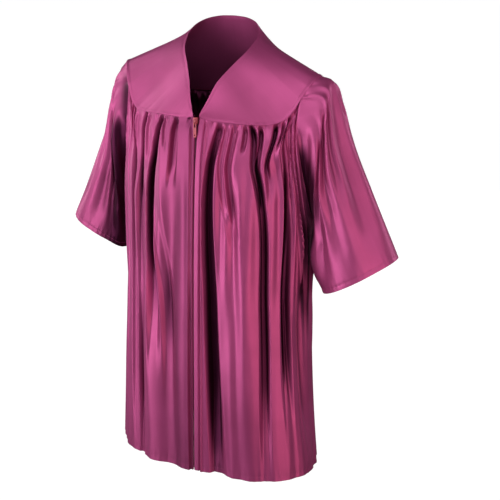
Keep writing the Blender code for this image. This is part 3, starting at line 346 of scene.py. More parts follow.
# The back's folds, from the wearer's right to left: shares below 0 are the right half
FOLDS_BACK: tuple[Fold, ...] = (
    Fold(-0.700, -0.850, -0.880, -0.890, 0.008, 0.028, 0.003, 0.005, 0.006, 0.007, 1.0),
    Fold(-0.650, -0.770, -0.790, -0.790, 0.008, 0.012, 0.004, 0.002, 0.000, 0.000, 0.12),
    Fold(-0.605, -0.690, -0.700, -0.680, 0.009, 0.030, 0.005, 0.009, 0.010, 0.008, 1.0),
    Fold(-0.560, -0.620, -0.630, -0.630, 0.008, 0.012, 0.004, 0.002, 0.000, 0.000, 0.15),
    Fold(-0.515, -0.565, -0.560, -0.570, 0.008, 0.014, 0.004, 0.005, 0.002, 0.000, 0.32),
    Fold(-0.470, -0.505, -0.500, -0.490, 0.009, 0.030, 0.005, 0.010, 0.012, 0.009, 1.0),
    Fold(-0.425, -0.445, -0.440, -0.430, 0.008, 0.012, 0.004, 0.002, 0.000, 0.000, 0.11),
    Fold(-0.380, -0.390, -0.380, -0.370, 0.008, 0.014, 0.004, 0.004, 0.001, 0.000, 0.27),
    Fold(-0.335, -0.335, -0.320, -0.310, 0.009, 0.026, 0.005, 0.008, 0.009, 0.005, 0.90),
    Fold(-0.290, -0.280, -0.265, -0.260, 0.008, 0.012, 0.004, 0.002, 0.000, 0.000, 0.14),
    Fold(-0.240, -0.225, -0.215, -0.210, 0.008, 0.012, 0.004, 0.004, 0.001, 0.000, 0.22),
    Fold(-0.190, -0.175, -0.165, -0.170, 0.010, 0.032, 0.005, 0.010, 0.012, 0.010, 1.0),
    Fold(-0.140, -0.125, -0.110, -0.105, 0.008, 0.012, 0.004, 0.002, 0.000, 0.000, 0.13),
    Fold(-0.090, -0.075, -0.060, -0.060, 0.008, 0.014, 0.004, 0.003, 0.001, 0.000, 0.30),
    Fold(-0.040, -0.030, -0.010, 0.000, 0.008, 0.022, 0.004, 0.006, 0.006, 0.004, 0.80),
    Fold(0.015, 0.030, 0.045, 0.060, 0.008, 0.012, 0.004, 0.002, 0.000, 0.000, 0.10),
    Fold(0.065, 0.080, 0.095, 0.100, 0.008, 0.012, 0.004, 0.004, 0.001, 0.000, 0.26),
    Fold(0.110, 0.130, 0.150, 0.145, 0.010, 0.032, 0.005, 0.009, 0.012, 0.010, 1.0),
    Fold(0.160, 0.185, 0.200, 0.200, 0.008, 0.012, 0.004, 0.002, 0.000, 0.000, 0.15),
    Fold(0.210, 0.235, 0.255, 0.255, 0.008, 0.014, 0.004, 0.005, 0.002, 0.000, 0.33),
    Fold(0.255, 0.285, 0.305, 0.305, 0.008, 0.012, 0.004, 0.002, 0.000, 0.000, 0.12),
    Fold(0.300, 0.335, 0.360, 0.350, 0.009, 0.028, 0.005, 0.009, 0.010, 0.007, 1.0),
    Fold(0.345, 0.385, 0.410, 0.410, 0.008, 0.012, 0.004, 0.002, 0.000, 0.000, 0.14),
    Fold(0.390, 0.435, 0.460, 0.460, 0.008, 0.014, 0.004, 0.003, 0.001, 0.000, 0.22),
    Fold(0.435, 0.485, 0.515, 0.510, 0.009, 0.024, 0.005, 0.007, 0.008, 0.004, 0.85),
    Fold(0.480, 0.535, 0.565, 0.560, 0.008, 0.012, 0.004, 0.002, 0.000, 0.000, 0.10),
    Fold(0.525, 0.590, 0.620, 0.620, 0.008, 0.012, 0.004, 0.004, 0.001, 0.000, 0.25),
    Fold(0.570, 0.650, 0.680, 0.685, 0.009, 0.030, 0.005, 0.008, 0.011, 0.009, 1.0),
    Fold(0.615, 0.715, 0.740, 0.740, 0.008, 0.012, 0.004, 0.002, 0.000, 0.000, 0.12),
    Fold(0.655, 0.780, 0.810, 0.810, 0.008, 0.014, 0.004, 0.003, 0.001, 0.000, 0.25),
    Fold(0.695, 0.860, 0.900, 0.900, 0.008, 0.028, 0.003, 0.005, 0.006, 0.007, 1.0),
)

# The sleeves' folds: shares run round from the shoulder tip, 0.25 in front, 0.5 under the arm
FOLDS_SLEEVE: tuple[Fold, ...] = (
    Fold(0.020, 0.055, 0.075, 0.090, 0.018, 0.052, 0.001, 0.004, 0.006, 0.002, 1.0),
    Fold(0.050, 0.115, 0.150, 0.170, 0.010, 0.030, 0.002, 0.005, 0.003, 0.000, 0.62),
    Fold(0.080, 0.180, 0.225, 0.245, 0.012, 0.048, 0.002, 0.006, 0.006, 0.003, 1.0),
    Fold(0.110, 0.260, 0.310, 0.335, 0.014, 0.060, 0.002, 0.006, 0.007, 0.004, 1.0),
    Fold(0.985, 0.950, 0.930, 0.915, 0.016, 0.050, 0.001, 0.004, 0.006, 0.003, 1.0),
    Fold(0.955, 0.885, 0.850, 0.830, 0.010, 0.032, 0.002, 0.005, 0.004, 0.001, 0.70),
    Fold(0.930, 0.815, 0.765, 0.735, 0.012, 0.050, 0.002, 0.006, 0.007, 0.004, 1.0),
    Fold(0.900, 0.730, 0.680, 0.650, 0.014, 0.060, 0.002, 0.006, 0.006, 0.003, 1.0),
)
# More folds of the left sleeve
FOLDS_SLEEVE_LEFT: tuple[Fold, ...] = (
    Fold(0.480, 0.470, 0.465, 0.470, 0.030, 0.080, 0.000, -0.004, -0.006, -0.001, 1.0),
    Fold(0.975, 0.995, 1.010, 1.020, 0.006, 0.018, 0.007, 0.004, 0.001, 0.000, 0.30),
)

BROAD_WAVES = Waves(7, (0.8, 3.6), (1, 5), 1.5, 0.6, (0.8, 2.6), 0.0)
RIPPLES = Waves(9, (4.0, 12.0), (4, 9), 2.5, 0.0, (0.6, 1.6), 0.55)

SOFTBOXES: tuple[Light, ...] = (
    Light("key", (-1.0, -1.5, 0.15), (0.0, 0.0, 0.05), (1.3, 2.2), 26.5),
    Light("fill", (1.75, -1.1, -0.75), (0.0, 0.0, -0.5), (0.9, 1.2), 13.0, (1.0, 0.67, 0.62)),
    Light("front", (1.35, -1.75, 0.1), (0.0, 0.0, -0.1), (0.5, 1.2), 4.6),
    Light("low", (-1.1, -1.5, -0.9), (0.0, 0.0, -0.6), (0.9, 0.7), 5.0),
    Light("right", (1.9, -0.6, 0.5), (0.0, 0.0, -0.1), (0.7, 1.2), 7.0, (1.0, 0.85, 0.88)),
    Light("top", (0.2, -1.9, 1.6), (0.0, 0.0, -0.05), (1.6, 1.2), 19.0),
    Light("left", (-1.9, 0.1, 0.2), (0.0, 0.0, -0.3), (0.8, 2.0), 17.0),
    Light("back", (-0.9, 2.4, -0.7), (0.0, 0.0, -0.2), (1.6, 1.6), 36.0),
    Light("side", (1.9, 1.6, 0.3), (0.0, 0.0, -0.2), (1.0, 1.4), 14.0),
)


def spline(stations: Sequence[float], values: Sequence, share: Array) -> Array:
    """A smooth curve through values at rising stations.

    Args:
        stations: Where the values stand, rising.
        values: A number or a vector for each station.
        share: Where the curve is read.

    Returns:
        The curve's value at each share.
    """
    stations = np.asarray(stations, float)
    values = np.asarray(values, float)
    share = np.asarray(share, float)
    slopes = np.gradient(values, stations, axis=0)
    index = np.clip(np.searchsorted(stations, share, side="right") - 1, 0, len(stations) - 2)
    span = stations[index + 1] - stations[index]
    t = np.clip((share - stations[index]) / span, 0.0, 1.0)
    extra = (1,) * (values.ndim - 1)
    t, span = t.reshape(t.shape + extra), span.reshape(span.shape + extra)
    start, stop = values[index], values[index + 1]
    rise_start, rise_stop = slopes[index] * span, slopes[index + 1] * span
    first = (2 * t**3 - 3 * t**2 + 1) * start + (t**3 - 2 * t**2 + t) * rise_start
    return first + (3 * t**2 - 2 * t**3) * stop + (t**3 - t**2) * rise_stop


def curve(rows: Sequence, share: Array) -> Array:
    """Points at shares of the length of a smooth curve through the rows of a table.

    Args:
        rows: The points that the curve runs through.
        share: Shares of the curve's length.

    Returns:
        A point for each share.
    """
    points = np.array(rows, float)
    steps = np.linalg.norm(np.diff(points, axis=0), axis=1)
    stations = np.concatenate(([0.0], np.cumsum(steps)))
    return spline(stations / stations[-1], points, share)


def between(at: Array, stations: Array, rows: Array) -> Array:
    """Vectors read in straight steps between the rows of a table that stand at stations."""
    return np.stack([np.interp(at, stations, column) for column in rows.T], axis=-1)


def smooth_step(value: Array) -> Array:
    """0 below 0, 1 above 1 and an S between."""
    value = np.clip(value, 0.0, 1.0)
    return value * value * (3 - 2 * value)


def unit(vectors: Array) -> Array:
    """Vectors scaled to length 1."""
    return vectors / np.maximum(np.linalg.norm(vectors, axis=-1, keepdims=True), 1e-9)


def bell(away: Array, width: float) -> Array:
    """A bell-shaped hump, 1 in the middle."""
    return np.exp(-((away / width) ** 2))


def girth_at(down: Array) -> Array:
    """The girth of a front or of half the back at shares of the height."""
    return GIRTH_AT_SEAM + (GIRTH_AT_HEM - GIRTH_AT_SEAM) * down


def way_down(points: Array) -> Array:
    """Distances along each column of a grid from its first row."""
    steps = np.linalg.norm(np.diff(points, axis=0), axis=-1)
    return np.concatenate([np.zeros((1, points.shape[1])), np.cumsum(steps, axis=0)])


def from_tip(around: Array) -> Array:
    """Shares of a turn from the shoulder tip, the shorter way round."""
    return np.abs((around + 0.5) % 1.0 - 0.5)


def mirrored(points: Array, sign: float) -> Array:
    """Points with their X times a sign."""
    return points * np.array([sign, 1.0, 1.0])


def facing_of(shell: Callable, share: Array, down: Array) -> Array:
    """The way a smooth shell faces.

    Args:
        shell: A function of two shares that gives points.
        share: Shares across the cloth.
        down: Shares down the cloth.

    Returns:
        Unit vectors square to the shell.
    """
    across = shell(share + FACING_STEP, down) - shell(share - FACING_STEP, down)
    after, before = np.minimum(down + FACING_STEP, 1.0), np.maximum(down - FACING_STEP, 0.0)
    return unit(np.cross(across, shell(share, after) - shell(share, before)))


def laid_on(half: Callable, side: Side | None, share: Array, down: Array) -> tuple:
    """Points of the smooth shell of a piece in front or behind, and the way they face.

    Args:
        half: A function of a sign, whether it is behind, and two shares, that gives half a shell's points.
        side: The half in front, or none for both halves behind.
        share: Shares across, below 0 on the right half behind.
        down: Shares down.

    Returns:
        The points and the unit vectors.
    """

    def shell(across: Array, below: Array) -> Array:
        """Points of the half in front, or of both behind.

        Args:
            across: Shares across.
            below: Shares down.

        Returns:
            A point for each share.
        """
        if side:
            return half(side.value, False, across, below)
        left = half(1, True, np.abs(across), below)
        right = half(-1, True, np.abs(across), below)
        return np.where((across >= 0)[..., None], left, right)

    turn, low = (-side.value, FACING_STEP) if side else (1, FACING_STEP - 1)
    return shell(share, down), turn * facing_of(shell, np.clip(share, low, 1 - FACING_STEP), down)


@dataclass(frozen=True)
class RobeForm:
    """The smooth form of the worn robe, which the folds are laid on."""

    outline_steps: int = 121
    rise_turn: float = 1.4
    crown_fade: float = 0.3
    crown_lean: Triple = (1.0, 2.0, 0.0)
    crown_up: float = 0.08

    def quarter_outline(self, half_width: float, depth: float, square: float) -> tuple:
        """A quarter of a level's outline from the middle to the side.

        Args:
            half_width: The outline's reach to the side.
            depth: Its reach to the front or back.
            square: 2 for an ellipse, more for fuller corners.

        Returns:
            Shares of its length, X, and depth.
        """
        angle = np.linspace(0.0, math.pi / 2, self.outline_steps)
        across, along = np.sin(angle), np.cos(angle)
        reach = ((across / half_width) ** square + (along / depth) ** square) ** (-1 / square)
        x, y = reach * across, reach * along
        length = np.concatenate(([0.0], np.cumsum(np.hypot(np.diff(x), np.diff(y)))))
        return length / length[-1], x, y

    def body(self, sign: int, back: bool, share: Array, z: Array) -> Array:
        """Points of the smooth body.

        Args:
            sign: The sign of X.
            back: Whether the point lies behind.
            share: Shares of the half girth, 0 at the zip or the middle of the back.
            z: Heights.

        Returns:
            A point for each share and height.
        """
        weights = spline([-level.z for level in BODY_LEVELS], np.eye(len(BODY_LEVELS)), -z)
        x, y = np.zeros_like(z), np.zeros_like(z)
        for index, level in enumerate(BODY_LEVELS):
            if back:
                depth, square, ahead = level.back - level.side_y, level.square_back, 1
            else:
                depth, ahead = level.front + level.side_y, -1
                square = level.square_left if sign > 0 else level.square_right
            half_width = level.half_left if sign > 0 else level.half_right
            shares, across, along = self.quarter_outline(half_width, depth, square)
            x += weights[..., index] * np.interp(share, shares, across)
            y += weights[..., index] * (level.side_y + ahead * np.interp(share, shares, along))
        return np.stack([sign * x, y, z], axis=-1)

    def seam_rows(self, sign: int, back: bool) -> Array:
        """The yoke seam of one half, on the wearer's left in X.

        Args:
            sign: The sign of X.
            back: Whether it lies behind.

        Returns:
            The seam's points.
        """
        if back:
            return np.array(YOKE_SEAM_BACK, float)
        rows = np.array(YOKE_SEAM_FRONT, float)
        if sign < 0:
            share = np.linspace(0.0, 1.0, len(rows))
            rows[:, 2] += RIGHT_SEAM_RISE * np.sin(math.pi * np.clip(share * self.rise_turn, 0.0, 1.0))
        return rows

    def armhole_edge(self, sign: int, back: bool, way: Array) -> Array:
        """Points on an armhole's edge, at shares of the way from the yoke seam to under the arm."""
        stations = np.linspace(0.0, 1.0, ARM_CELLS + 1)
        corners = curve(ARMHOLE_BACK if back else ARMHOLE_FRONT, stations)
        return mirrored(between(way, stations, corners), sign)

    def top_line(self, sign: int, back: bool, share: Array) -> Array:
        """Points on the upper edge of a front or back: the yoke seam, then the armhole."""
        seam = curve(self.seam_rows(sign, back), np.clip(share / CORNER_SHARE, 0.0, 1.0))
        way = np.clip((share - CORNER_SHARE) / (1 - CORNER_SHARE), 0.0, 1.0) ** ARMHOLE_SHARE_POWER
        line = np.where((share <= CORNER_SHARE)[..., None], seam, self.armhole_edge(1, back, way))
        return mirrored(line, sign)

    def spread_at_zip(self, points: Array, sign: int) -> Array:
        """Points beside the zip moved apart: a slot below, and a mouth round the slider.

        Args:
            points: Points of a front.
            sign: The sign of X.

        Returns:
            The moved points.
        """
        x, z = points[..., 0], points[..., 2]
        half = np.interp(-z, [-row.z for row in ZIP_SLOT], [row.half for row in ZIP_SLOT])
        near = np.clip(1 - np.abs(x) / ZIP_MOUTH_REACH, 0.0, 1.0)
        moved = points.copy()
        moved[..., 0] = x + sign * half * near
        return moved

    def armhole_pull(self, sign: int, back: bool, share: Array, z: Array) -> Array:
        """How far the armhole's edge draws the smooth body in, in X and Y.

        Args:
            sign: The sign of X.
            back: Whether it lies behind.
            share: Shares of the half girth.
            z: Heights.

        Returns:
            A move for each share.
        """
        way = np.linspace(0.0, 1.0, self.outline_steps)
        edge = self.armhole_edge(sign, back, way)
        edge_share = CORNER_SHARE + (1 - CORNER_SHARE) * way ** (1 / ARMHOLE_SHARE_POWER)
        pull = (edge - self.body(sign, back, edge_share, edge[:, 2]))[:, :2]
        at_share = np.interp(-z, -edge[:, 2], edge_share)
        drawn = between(-z, -edge[:, 2], pull)
        below = 1 - smooth_step((edge[-1, 2] - z) / EDGE_REACH)
        beside = 1 - smooth_step((at_share - share) * GIRTH_AT_SEAM / ARMHOLE_REACH)
        return drawn * (below * beside)[..., None]

    def hanging(self, sign: int, back: bool, share: Array, z: Array) -> Array:
        """The smooth body drawn in along its armhole."""
        points = self.body(sign, back, share, z)
        points[..., :2] += self.armhole_pull(sign, back, share, z)
        return points

    def panel(self, sign: int, back: bool, share: Array, down: Array) -> Array:
        """Smooth points of a front or half the back, at shares of the half girth and of the height.

        Args:
            sign: The sign of X.
            back: Whether it lies behind.
            share: Shares of the half girth.
            down: Shares of the height.

        Returns:
            A point for each share.
        """
        top = self.top_line(sign, back, share)
        drop = (top[..., 2] - HEM_Z) * down
        points = self.hanging(sign, back, share, top[..., 2] - drop)
        start = self.hanging(sign, back, share, top[..., 2])
        near = 1 - smooth_step(drop / EDGE_REACH)
        points[..., :2] += (top - start)[..., :2] * near[..., None]
        return points if back else self.spread_at_zip(points, sign)

    def yoke(self, sign: int, back: bool, share: Array, down: Array) -> Array:
        """Smooth points of half a yoke: share 0 at the middle, 1 at the shoulder seam, down from the neck.

        Args:
            sign: The sign of X.
            back: Whether it lies behind.
            share: Shares across.
            down: Shares of the way to the seam.

        Returns:
            A point for each share.
        """
        ends = YOKE_END_BACK if back else YOKE_END_FRONT
        seam = curve(self.seam_rows(sign, back), np.clip(share / YOKE_CORNER, 0.0, 1.0))
        end = curve(ends, np.clip((share - YOKE_CORNER) / (1 - YOKE_CORNER), 0.0, 1.0))
        lower = np.where((share <= YOKE_CORNER)[..., None], seam, end)
        neck = curve(NECKLINE_BACK, 1 - share) if back else curve(NECKLINE_FRONT, share)
        points = neck + (lower - neck) * down[..., None]
        crown = YOKE_CROWN * 4 * down * (1 - down) * smooth_step((1 - share) / self.crown_fade)
        lift = unit(points * np.array(self.crown_lean) + np.array([0.0, 0.0, self.crown_up]))
        points = mirrored(points + crown[..., None] * lift, sign)
        return points if back else self.spread_at_zip(points, sign)

    def armhole_loop(self, sign: int, around: Array) -> Array:
        """Points round an armhole: from the shoulder tip forwards, 0.5 under the arm, and up the back.

        Args:
            sign: The sign of X.
            around: Shares of the turn.

        Returns:
            A point for each share.
        """
        forward = around <= 0.5
        way = np.where(forward, around, 1 - around)
        stations = np.linspace(0.0, 1.0, YOKE_END_CELLS + 1)
        end_share = np.clip(1 - way / ARM_CORNER, 0.0, 1.0)
        arm_share = np.clip((way - ARM_CORNER) / (0.5 - ARM_CORNER), 0.0, 1.0)
        halves = []
        for back, ends in ((False, YOKE_END_FRONT), (True, YOKE_END_BACK)):
            corners = curve(ends, stations)
            end = between(end_share, stations, corners)
            on_end = (way < ARM_CORNER)[..., None]
            halves.append(np.where(on_end, end, self.armhole_edge(1, back, arm_share)))
        return mirrored(np.where(forward[..., None], halves[0], halves[1]), sign)

    def sleeve(self, sign: int, around: Array, down: Array) -> Array:
        """Smooth points of a sleeve at shares of its girth and of its length.

        Args:
            sign: The sign of X.
            around: Shares of its girth.
            down: Shares of its length.

        Returns:
            A point for each share.
        """
        around = around % 1.0
        rings = SLEEVE_RINGS_LEFT if sign > 0 else SLEEVE_RINGS_RIGHT
        stations = [0.0] + [ring.share for ring in rings]
        weights = spline(stations, np.eye(len(stations)), down)
        points = weights[..., :1] * self.armhole_loop(sign, around)
        turn = 2 * math.pi * around
        for index, ring in enumerate(rings):
            middle_x, middle_z = (ring.outer_x + ring.inner_x) / 2, (ring.outer_z + ring.inner_z) / 2
            reach_x, reach_z = (ring.outer_x - ring.inner_x) / 2, (ring.outer_z - ring.inner_z) / 2
            x = middle_x + reach_x * np.cos(turn)
            y = ring.middle_y - ring.half_depth * np.sin(turn)
            z = middle_z + reach_z * np.cos(turn)
            points = points + weights[..., index + 1, None] * np.stack([sign * x, y, z], axis=-1)
        return points

    def puff(self, share: Array, drop: Array) -> Array:
        """How far gathered cloth stands out below its seam, less beside the armhole."""
        beside = smooth_step((PUFF_LAST_SHARE - share) / PUFF_SHARE_FADE)
        return PUFF_DEPTH * beside * smooth_step(drop / PUFF_BELOW) * (1 - smooth_step(drop / PUFF_END))


def eased(points: Array, share: Array, reach: float = 0.11, fade: float = 1.6) -> Array:
    """Points with the crease between a grid's two halves, at share 0, eased into a soft curve.

    Args:
        points: The grid's points.
        share: Their shares, even along each row.
        reach: The width of the mean that replaces a point.
        fade: How far to either side the easing fades out, in reaches.

    Returns:
        The eased points.
    """
    half = int(0.5 * reach / (share[0, 1] - share[0, 0]))
    window = 2 * half + 1
    row = np.pad(points, ((0, 0), (half, half), (0, 0)), mode="edge")
    total = np.cumsum(np.pad(row, ((0, 0), (1, 0), (0, 0))), axis=1)
    mean = (total[:, window:] - total[:, :-window]) / window
    weight = smooth_step(1 - np.abs(share) / (fade * reach))[..., None]
    return points + (mean - points) * weight


@dataclass(frozen=True)
class Pleating:
    """A table of folds, with the small gathers that lie between them at the seam."""

    folds: Sequence[Fold]
    gathers: int = 18
    gather_width: float = 0.0085
    gather_depth: float = 0.0034
    gather_reach: float = 0.055
    gather_wander: float = 0.45
    gather_widths: Pair = (0.55, 1.7)
    gather_reaches: Pair = (0.4, 1.6)
    gather_depths: Triple = (0.35, 1.9, 2.5)
    gather_spread: Pair = (0.8, 1.2)
    low: float = 0.0
    high: float = 1.0
    seed: int = 3
    deeper: float = 1.0
    wider: float = 1.25
    hem_calm: float = 0.65
    calm_from: float = 0.7
    end_fade: float = 0.38
    lean: float = 0.0
    wall: float = 0.66
    lean_from: float = 0.024
    round_trip: bool = False

    def places(self, fold: Fold, down: Array) -> Array:
        """Where a fold runs, at shares of the height."""
        return spline(FOLD_STATIONS, [fold.seam, fold.chest, fold.middle, fold.hem], down)

    def depth(self, share: Array, down: Array, girth: Array) -> Array:
        """How far the folds push the cloth inwards.

        Args:
            share: Shares across the cloth.
            down: Shares of the height.
            girth: The width that a share of 1 stands for, in metres.

        Returns:
            A depth for each point, in metres.
        """
        depth = np.zeros_like(share)
        for fold in self.folds:
            deep = [fold.deep_seam, fold.deep_chest, fold.deep_middle, fold.deep_hem]
            amount = self.deeper * np.interp(down, FOLD_STATIONS, deep)
            calm = smooth_step((down - self.calm_from) / (1 - self.calm_from))
            amount = amount * (1 - self.hem_calm * calm)
            width = self.wider * (fold.wide_seam + (fold.wide_hem - fold.wide_seam) * np.sqrt(down))
            shows = smooth_step((fold.end - down) / (self.end_fade * fold.end)) if fold.end < 1.0 else 1.0
            away = share - self.places(fold, down)
            if self.round_trip:
                away = away - np.round(away)
            lean = self.lean if fold.wide_hem >= self.lean_from else 0.0
            half = 0.5 * width * (1 + lean * np.sign(away))
            wall = self.wall if fold.deep_chest > 0 else 1.0
            across = np.clip(away * girth / half, -1.0, 1.0)
            depth = depth + amount * shows * smooth_step((1 - np.abs(across)) / wall)
        return depth

    def origin(self, share: Array, down: Array) -> Array:
        """The share at the seam from which the cloth at each point hangs, on a grid of even rows.

        Args:
            share: Shares across the cloth.
            down: Shares of the height.

        Returns:
            A share for each point.
        """
        order = sorted(self.folds, key=lambda fold: fold.seam)
        found = np.empty_like(share)
        for row in range(share.shape[0]):
            at = [float(self.places(fold, down[row, 0])) for fold in order]
            seams = [fold.seam for fold in order]
            if self.round_trip:
                at = [at[-1] - 1] + at + [at[0] + 1]
                seams = [seams[-1] - 1] + seams + [seams[0] + 1]
            else:
                at, seams = [self.low] + at + [self.high], [self.low] + seams + [self.high]
            found[row] = np.interp(share[row], np.maximum.accumulate(at), seams)
        return found

    def gathering(self, origin: Array, drop: Array, girth: float) -> Array:
        """How far the small gathers push the cloth inwards.

        Args:
            origin: The share at the seam from which each point hangs.
            drop: Its distance below the seam.
            girth: The width that a share of 1 stands for, in metres.

        Returns:
            A depth for each point, in metres.
        """
        dice = np.random.default_rng(self.seed)
        span = self.high - self.low
        least, more, power = self.gather_depths
        narrow, wider = self.gather_spread
        depth = np.zeros_like(origin)
        for index in range(self.gathers):
            middle = index + 0.5 + dice.uniform(-self.gather_wander, self.gather_wander)
            place = self.low + span * middle / self.gathers
            width = self.gather_width * dice.uniform(*self.gather_widths)
            reach = self.gather_reach * dice.uniform(*self.gather_reaches)
            amount = self.gather_depth * (least + more * dice.uniform(0.0, 1.0) ** power)
            away = origin - place
            if self.round_trip:
                away = away - np.round(away)
            spread = width * (narrow + wider * np.clip(drop / reach, 0.0, 1.0))
            across = np.clip(away * girth / (0.5 * spread), -1.0, 1.0)
            depth += amount * (1 - smooth_step(drop / reach)) * np.cos(across * math.pi / 2) ** 2
        return depth




class Socket:
    """A value in a material's node tree, with arithmetic that adds Math nodes."""

    def __init__(self, graph: "Graph", output: bpy.types.NodeSocket) -> None:
        """Wraps an output of a node."""
        self.graph = graph
        self.output = output

    def maths(self, operation: str, *values: object) -> "Socket":
        """A Math node on these values."""
        inputs = dict(enumerate(values))
        return self.graph.node("ShaderNodeMath", {"operation": operation}, inputs)

    def __add__(self, other: object) -> "Socket":
        """The sum."""
        return self.maths("ADD", self, other)

    __radd__ = __add__

    def __sub__(self, other: object) -> "Socket":
        """The difference."""
        return self.maths("SUBTRACT", self, other)

    def __rsub__(self, other: object) -> "Socket":
        """The difference, the other way round."""
        return self.maths("SUBTRACT", other, self)

    def __mul__(self, other: object) -> "Socket":
        """The product."""
        return self.maths("MULTIPLY", self, other)

    __rmul__ = __mul__

    def ramp(self, low: float, high: float) -> "Socket":
        """0 at the low value and 1 at the high one."""
        inputs = {"Value": self, "From Min": low, "From Max": high}
        return self.graph.node("ShaderNodeMapRange", {"interpolation_type": "SMOOTHSTEP"}, inputs)


class Graph:
    """A material's node tree."""

    def __init__(self, name: str) -> None:
        """Starts a material with its Principled shader.

        Args:
            name: The material's name.
        """
        self.material = bpy.data.materials.new(name)
        self.material.use_nodes = True
        self.tree = self.material.node_tree
        self.shader = self.tree.nodes["Principled BSDF"]

    def node(self, kind: str, settings: dict, inputs: dict, output: int | str = 0) -> Socket:
        """Adds a node.

        Args:
            kind: The node's type.
            settings: Its own settings, or a ramp's stops, set first.
            inputs: Values or links for its sockets, by name or number.
            output: Which output is wanted.

        Returns:
            That output.
        """
        made = self.tree.nodes.new(kind)
        for key, value in settings.items():
            if key == "stops":
                for index, (place, colour) in enumerate(value):
                    stops = made.color_ramp.elements
                    stop = stops[index] if index < len(stops) else stops.new(place)
                    stop.position, stop.color = place, (*colour, 1.0)
            else:
                setattr(made, key, value)
        for key, value in inputs.items():
            self.feed(made.inputs[key], value)
        return Socket(self, made.outputs[output])

    def feed(self, socket: bpy.types.NodeSocket, value: object) -> None:
        """Links or sets a socket."""
        if isinstance(value, Socket):
            self.tree.links.new(value.output, socket)
        else:
            socket.default_value = value

    def mix(self, factor: object, first: object, second: object) -> Socket:
        """A mix of two colours."""
        settings = {"data_type": "RGBA"}
        return self.node("ShaderNodeMix", settings, {0: factor, 6: colour4(first), 7: colour4(second)}, 2)

    def place(self) -> Socket:
        """Object coordinates."""
        return self.node("ShaderNodeTexCoord", {}, {}, "Object")

    def bands(self, place: Socket, axis: str, scale: float, distortion: float = 0.0) -> Socket:
        """Wavy bands across an axis."""
        inputs = {"Vector": place, "Scale": scale, "Distortion": distortion}
        return self.node("ShaderNodeTexWave", {"bands_direction": axis}, inputs)

    def noise(self, place: Socket, scale: float, detail: float = 2.0, roughness: float = 0.5) -> Socket:
        """Noise read at a place."""
        inputs = {"Vector": place, "Scale": scale, "Detail": detail, "Roughness": roughness}
        return self.node("ShaderNodeTexNoise", {}, inputs)

    def stretched(self, place: Socket, scale: Triple) -> Socket:
        """A place with its axes scaled."""
        return self.node("ShaderNodeMapping", {}, {"Vector": place, "Scale": scale})

    def bump(self, height: Socket, strength: float, distance: float, **under: Socket) -> Socket:
        """A bump from a height, over another's Normal if that is given."""
        inputs = {"Height": height, "Strength": strength, "Distance": distance, **under}
        return self.node("ShaderNodeBump", {}, inputs)

    def finish(self, **values: object) -> Material:
        """Feeds the shader's sockets, named with underscores for spaces, and gives the material."""
        for key, value in values.items():
            self.feed(self.shader.inputs[key.replace("_", " ")], value)
        return self.material


def colour4(value: object) -> object:
    """A colour with its alpha, or a socket as it is."""
    return (*value, 1.0) if isinstance(value, tuple) and len(value) == 3 else value


@dataclass(frozen=True)
class SatinFinish:
    """Smooth polyester satin with a tinted sheen."""

    name: str = ORCHID_SATIN
    colour: Triple = (0.47, 0.070, 0.225)
    shade: Triple = (0.39, 0.056, 0.183)
    # The near-black colour painted as shade into folds, insides and under the arms
    painted_shade: Triple = (0.045, 0.006, 0.024)
    sheen: Triple = (0.9, 0.35, 0.62)
    sheen_weight: float = 0.06
    sheen_rough: float = 0.4
    cloud_scale: float = 9.0
    streaks: float = 0.15
    tone_ramp: Pair = (0.32, 0.68)
    streak_scale: Triple = (260.0, 9.0, 1.0)
    rough_scale: float = 30.0
    metallic: float = 0.60
    rough_low: float = 0.43
    rough_high: float = 0.53
    threads: float = 1500.0
    thread_wander: float = 1.5
    thread_bump: float = 0.12
    thread_height: float = 0.00004
    slub_bump: float = 0.03
    slub_height: float = 0.0004

    def material(self) -> Material:
        """The satin's nodes: long floats along the cloth, faint slubs and clouding of its colour, and
        painted shade that mixes it towards a near-black colour.
        """
        graph = Graph(self.name)
        flat = graph.node("ShaderNodeUVMap", {"uv_map": CLOTH_UV}, {})
        place = graph.place()
        cloud = graph.noise(place, self.cloud_scale, 3.0)
        streak = graph.noise(graph.stretched(flat, self.streak_scale), 1.0, 3.0, 0.6)
        tone = ((1 - self.streaks) * cloud + self.streaks * streak).ramp(*self.tone_ramp)
        colour = graph.mix(tone, self.shade, self.colour)
        # Painted shade: each point's stored share mixes the colour towards near-black and makes it fully
        # metallic
        deep = graph.node("ShaderNodeAttribute", {"attribute_name": PAINTED_SHADE}, {}, "Fac")
        colour = graph.mix(deep, colour, self.painted_shade)
        patch = graph.noise(place, self.rough_scale, 2.0)
        rough = self.rough_low + (self.rough_high - self.rough_low) * patch
        warp = graph.bands(flat, "X", self.threads / WAVE_TURN, self.thread_wander)
        floats = graph.bump(warp, self.thread_bump, self.thread_height)
        slub = graph.bump(streak, self.slub_bump, self.slub_height, Normal=floats)
        return graph.finish(
            Base_Color=colour, Metallic=self.metallic + (1.0 - self.metallic) * deep, Roughness=rough,
            Normal=slub, Sheen_Weight=self.sheen_weight, Sheen_Roughness=self.sheen_rough,
            Sheen_Tint=colour4(self.sheen),
        )


@dataclass(frozen=True)
class TapeFinish:
    """Woven polyester zip tape."""

    name: str = TAPE_WEAVE
    colour: Triple = (0.08, 0.009, 0.034)
    darker: Triple = (0.05, 0.005, 0.020)
    wefts: float = 500.0
    warps: float = 300.0
    weft_share: float = 0.6
    rough: float = 0.75
    weave_bump: Pair = (0.5, 0.0002)

    def material(self) -> Material:
        """A plain weave in Object coordinates."""
        graph = Graph(self.name)
        place = graph.place()
        weft = graph.bands(place, "Z", self.wefts)
        warp = graph.bands(place, "X", self.warps)
        height = weft * self.weft_share + warp * (1 - self.weft_share)
        colour = graph.mix(height, self.darker, self.colour)
        bump = graph.bump(height, *self.weave_bump)
        return graph.finish(Base_Color=colour, Roughness=self.rough, Normal=bump)


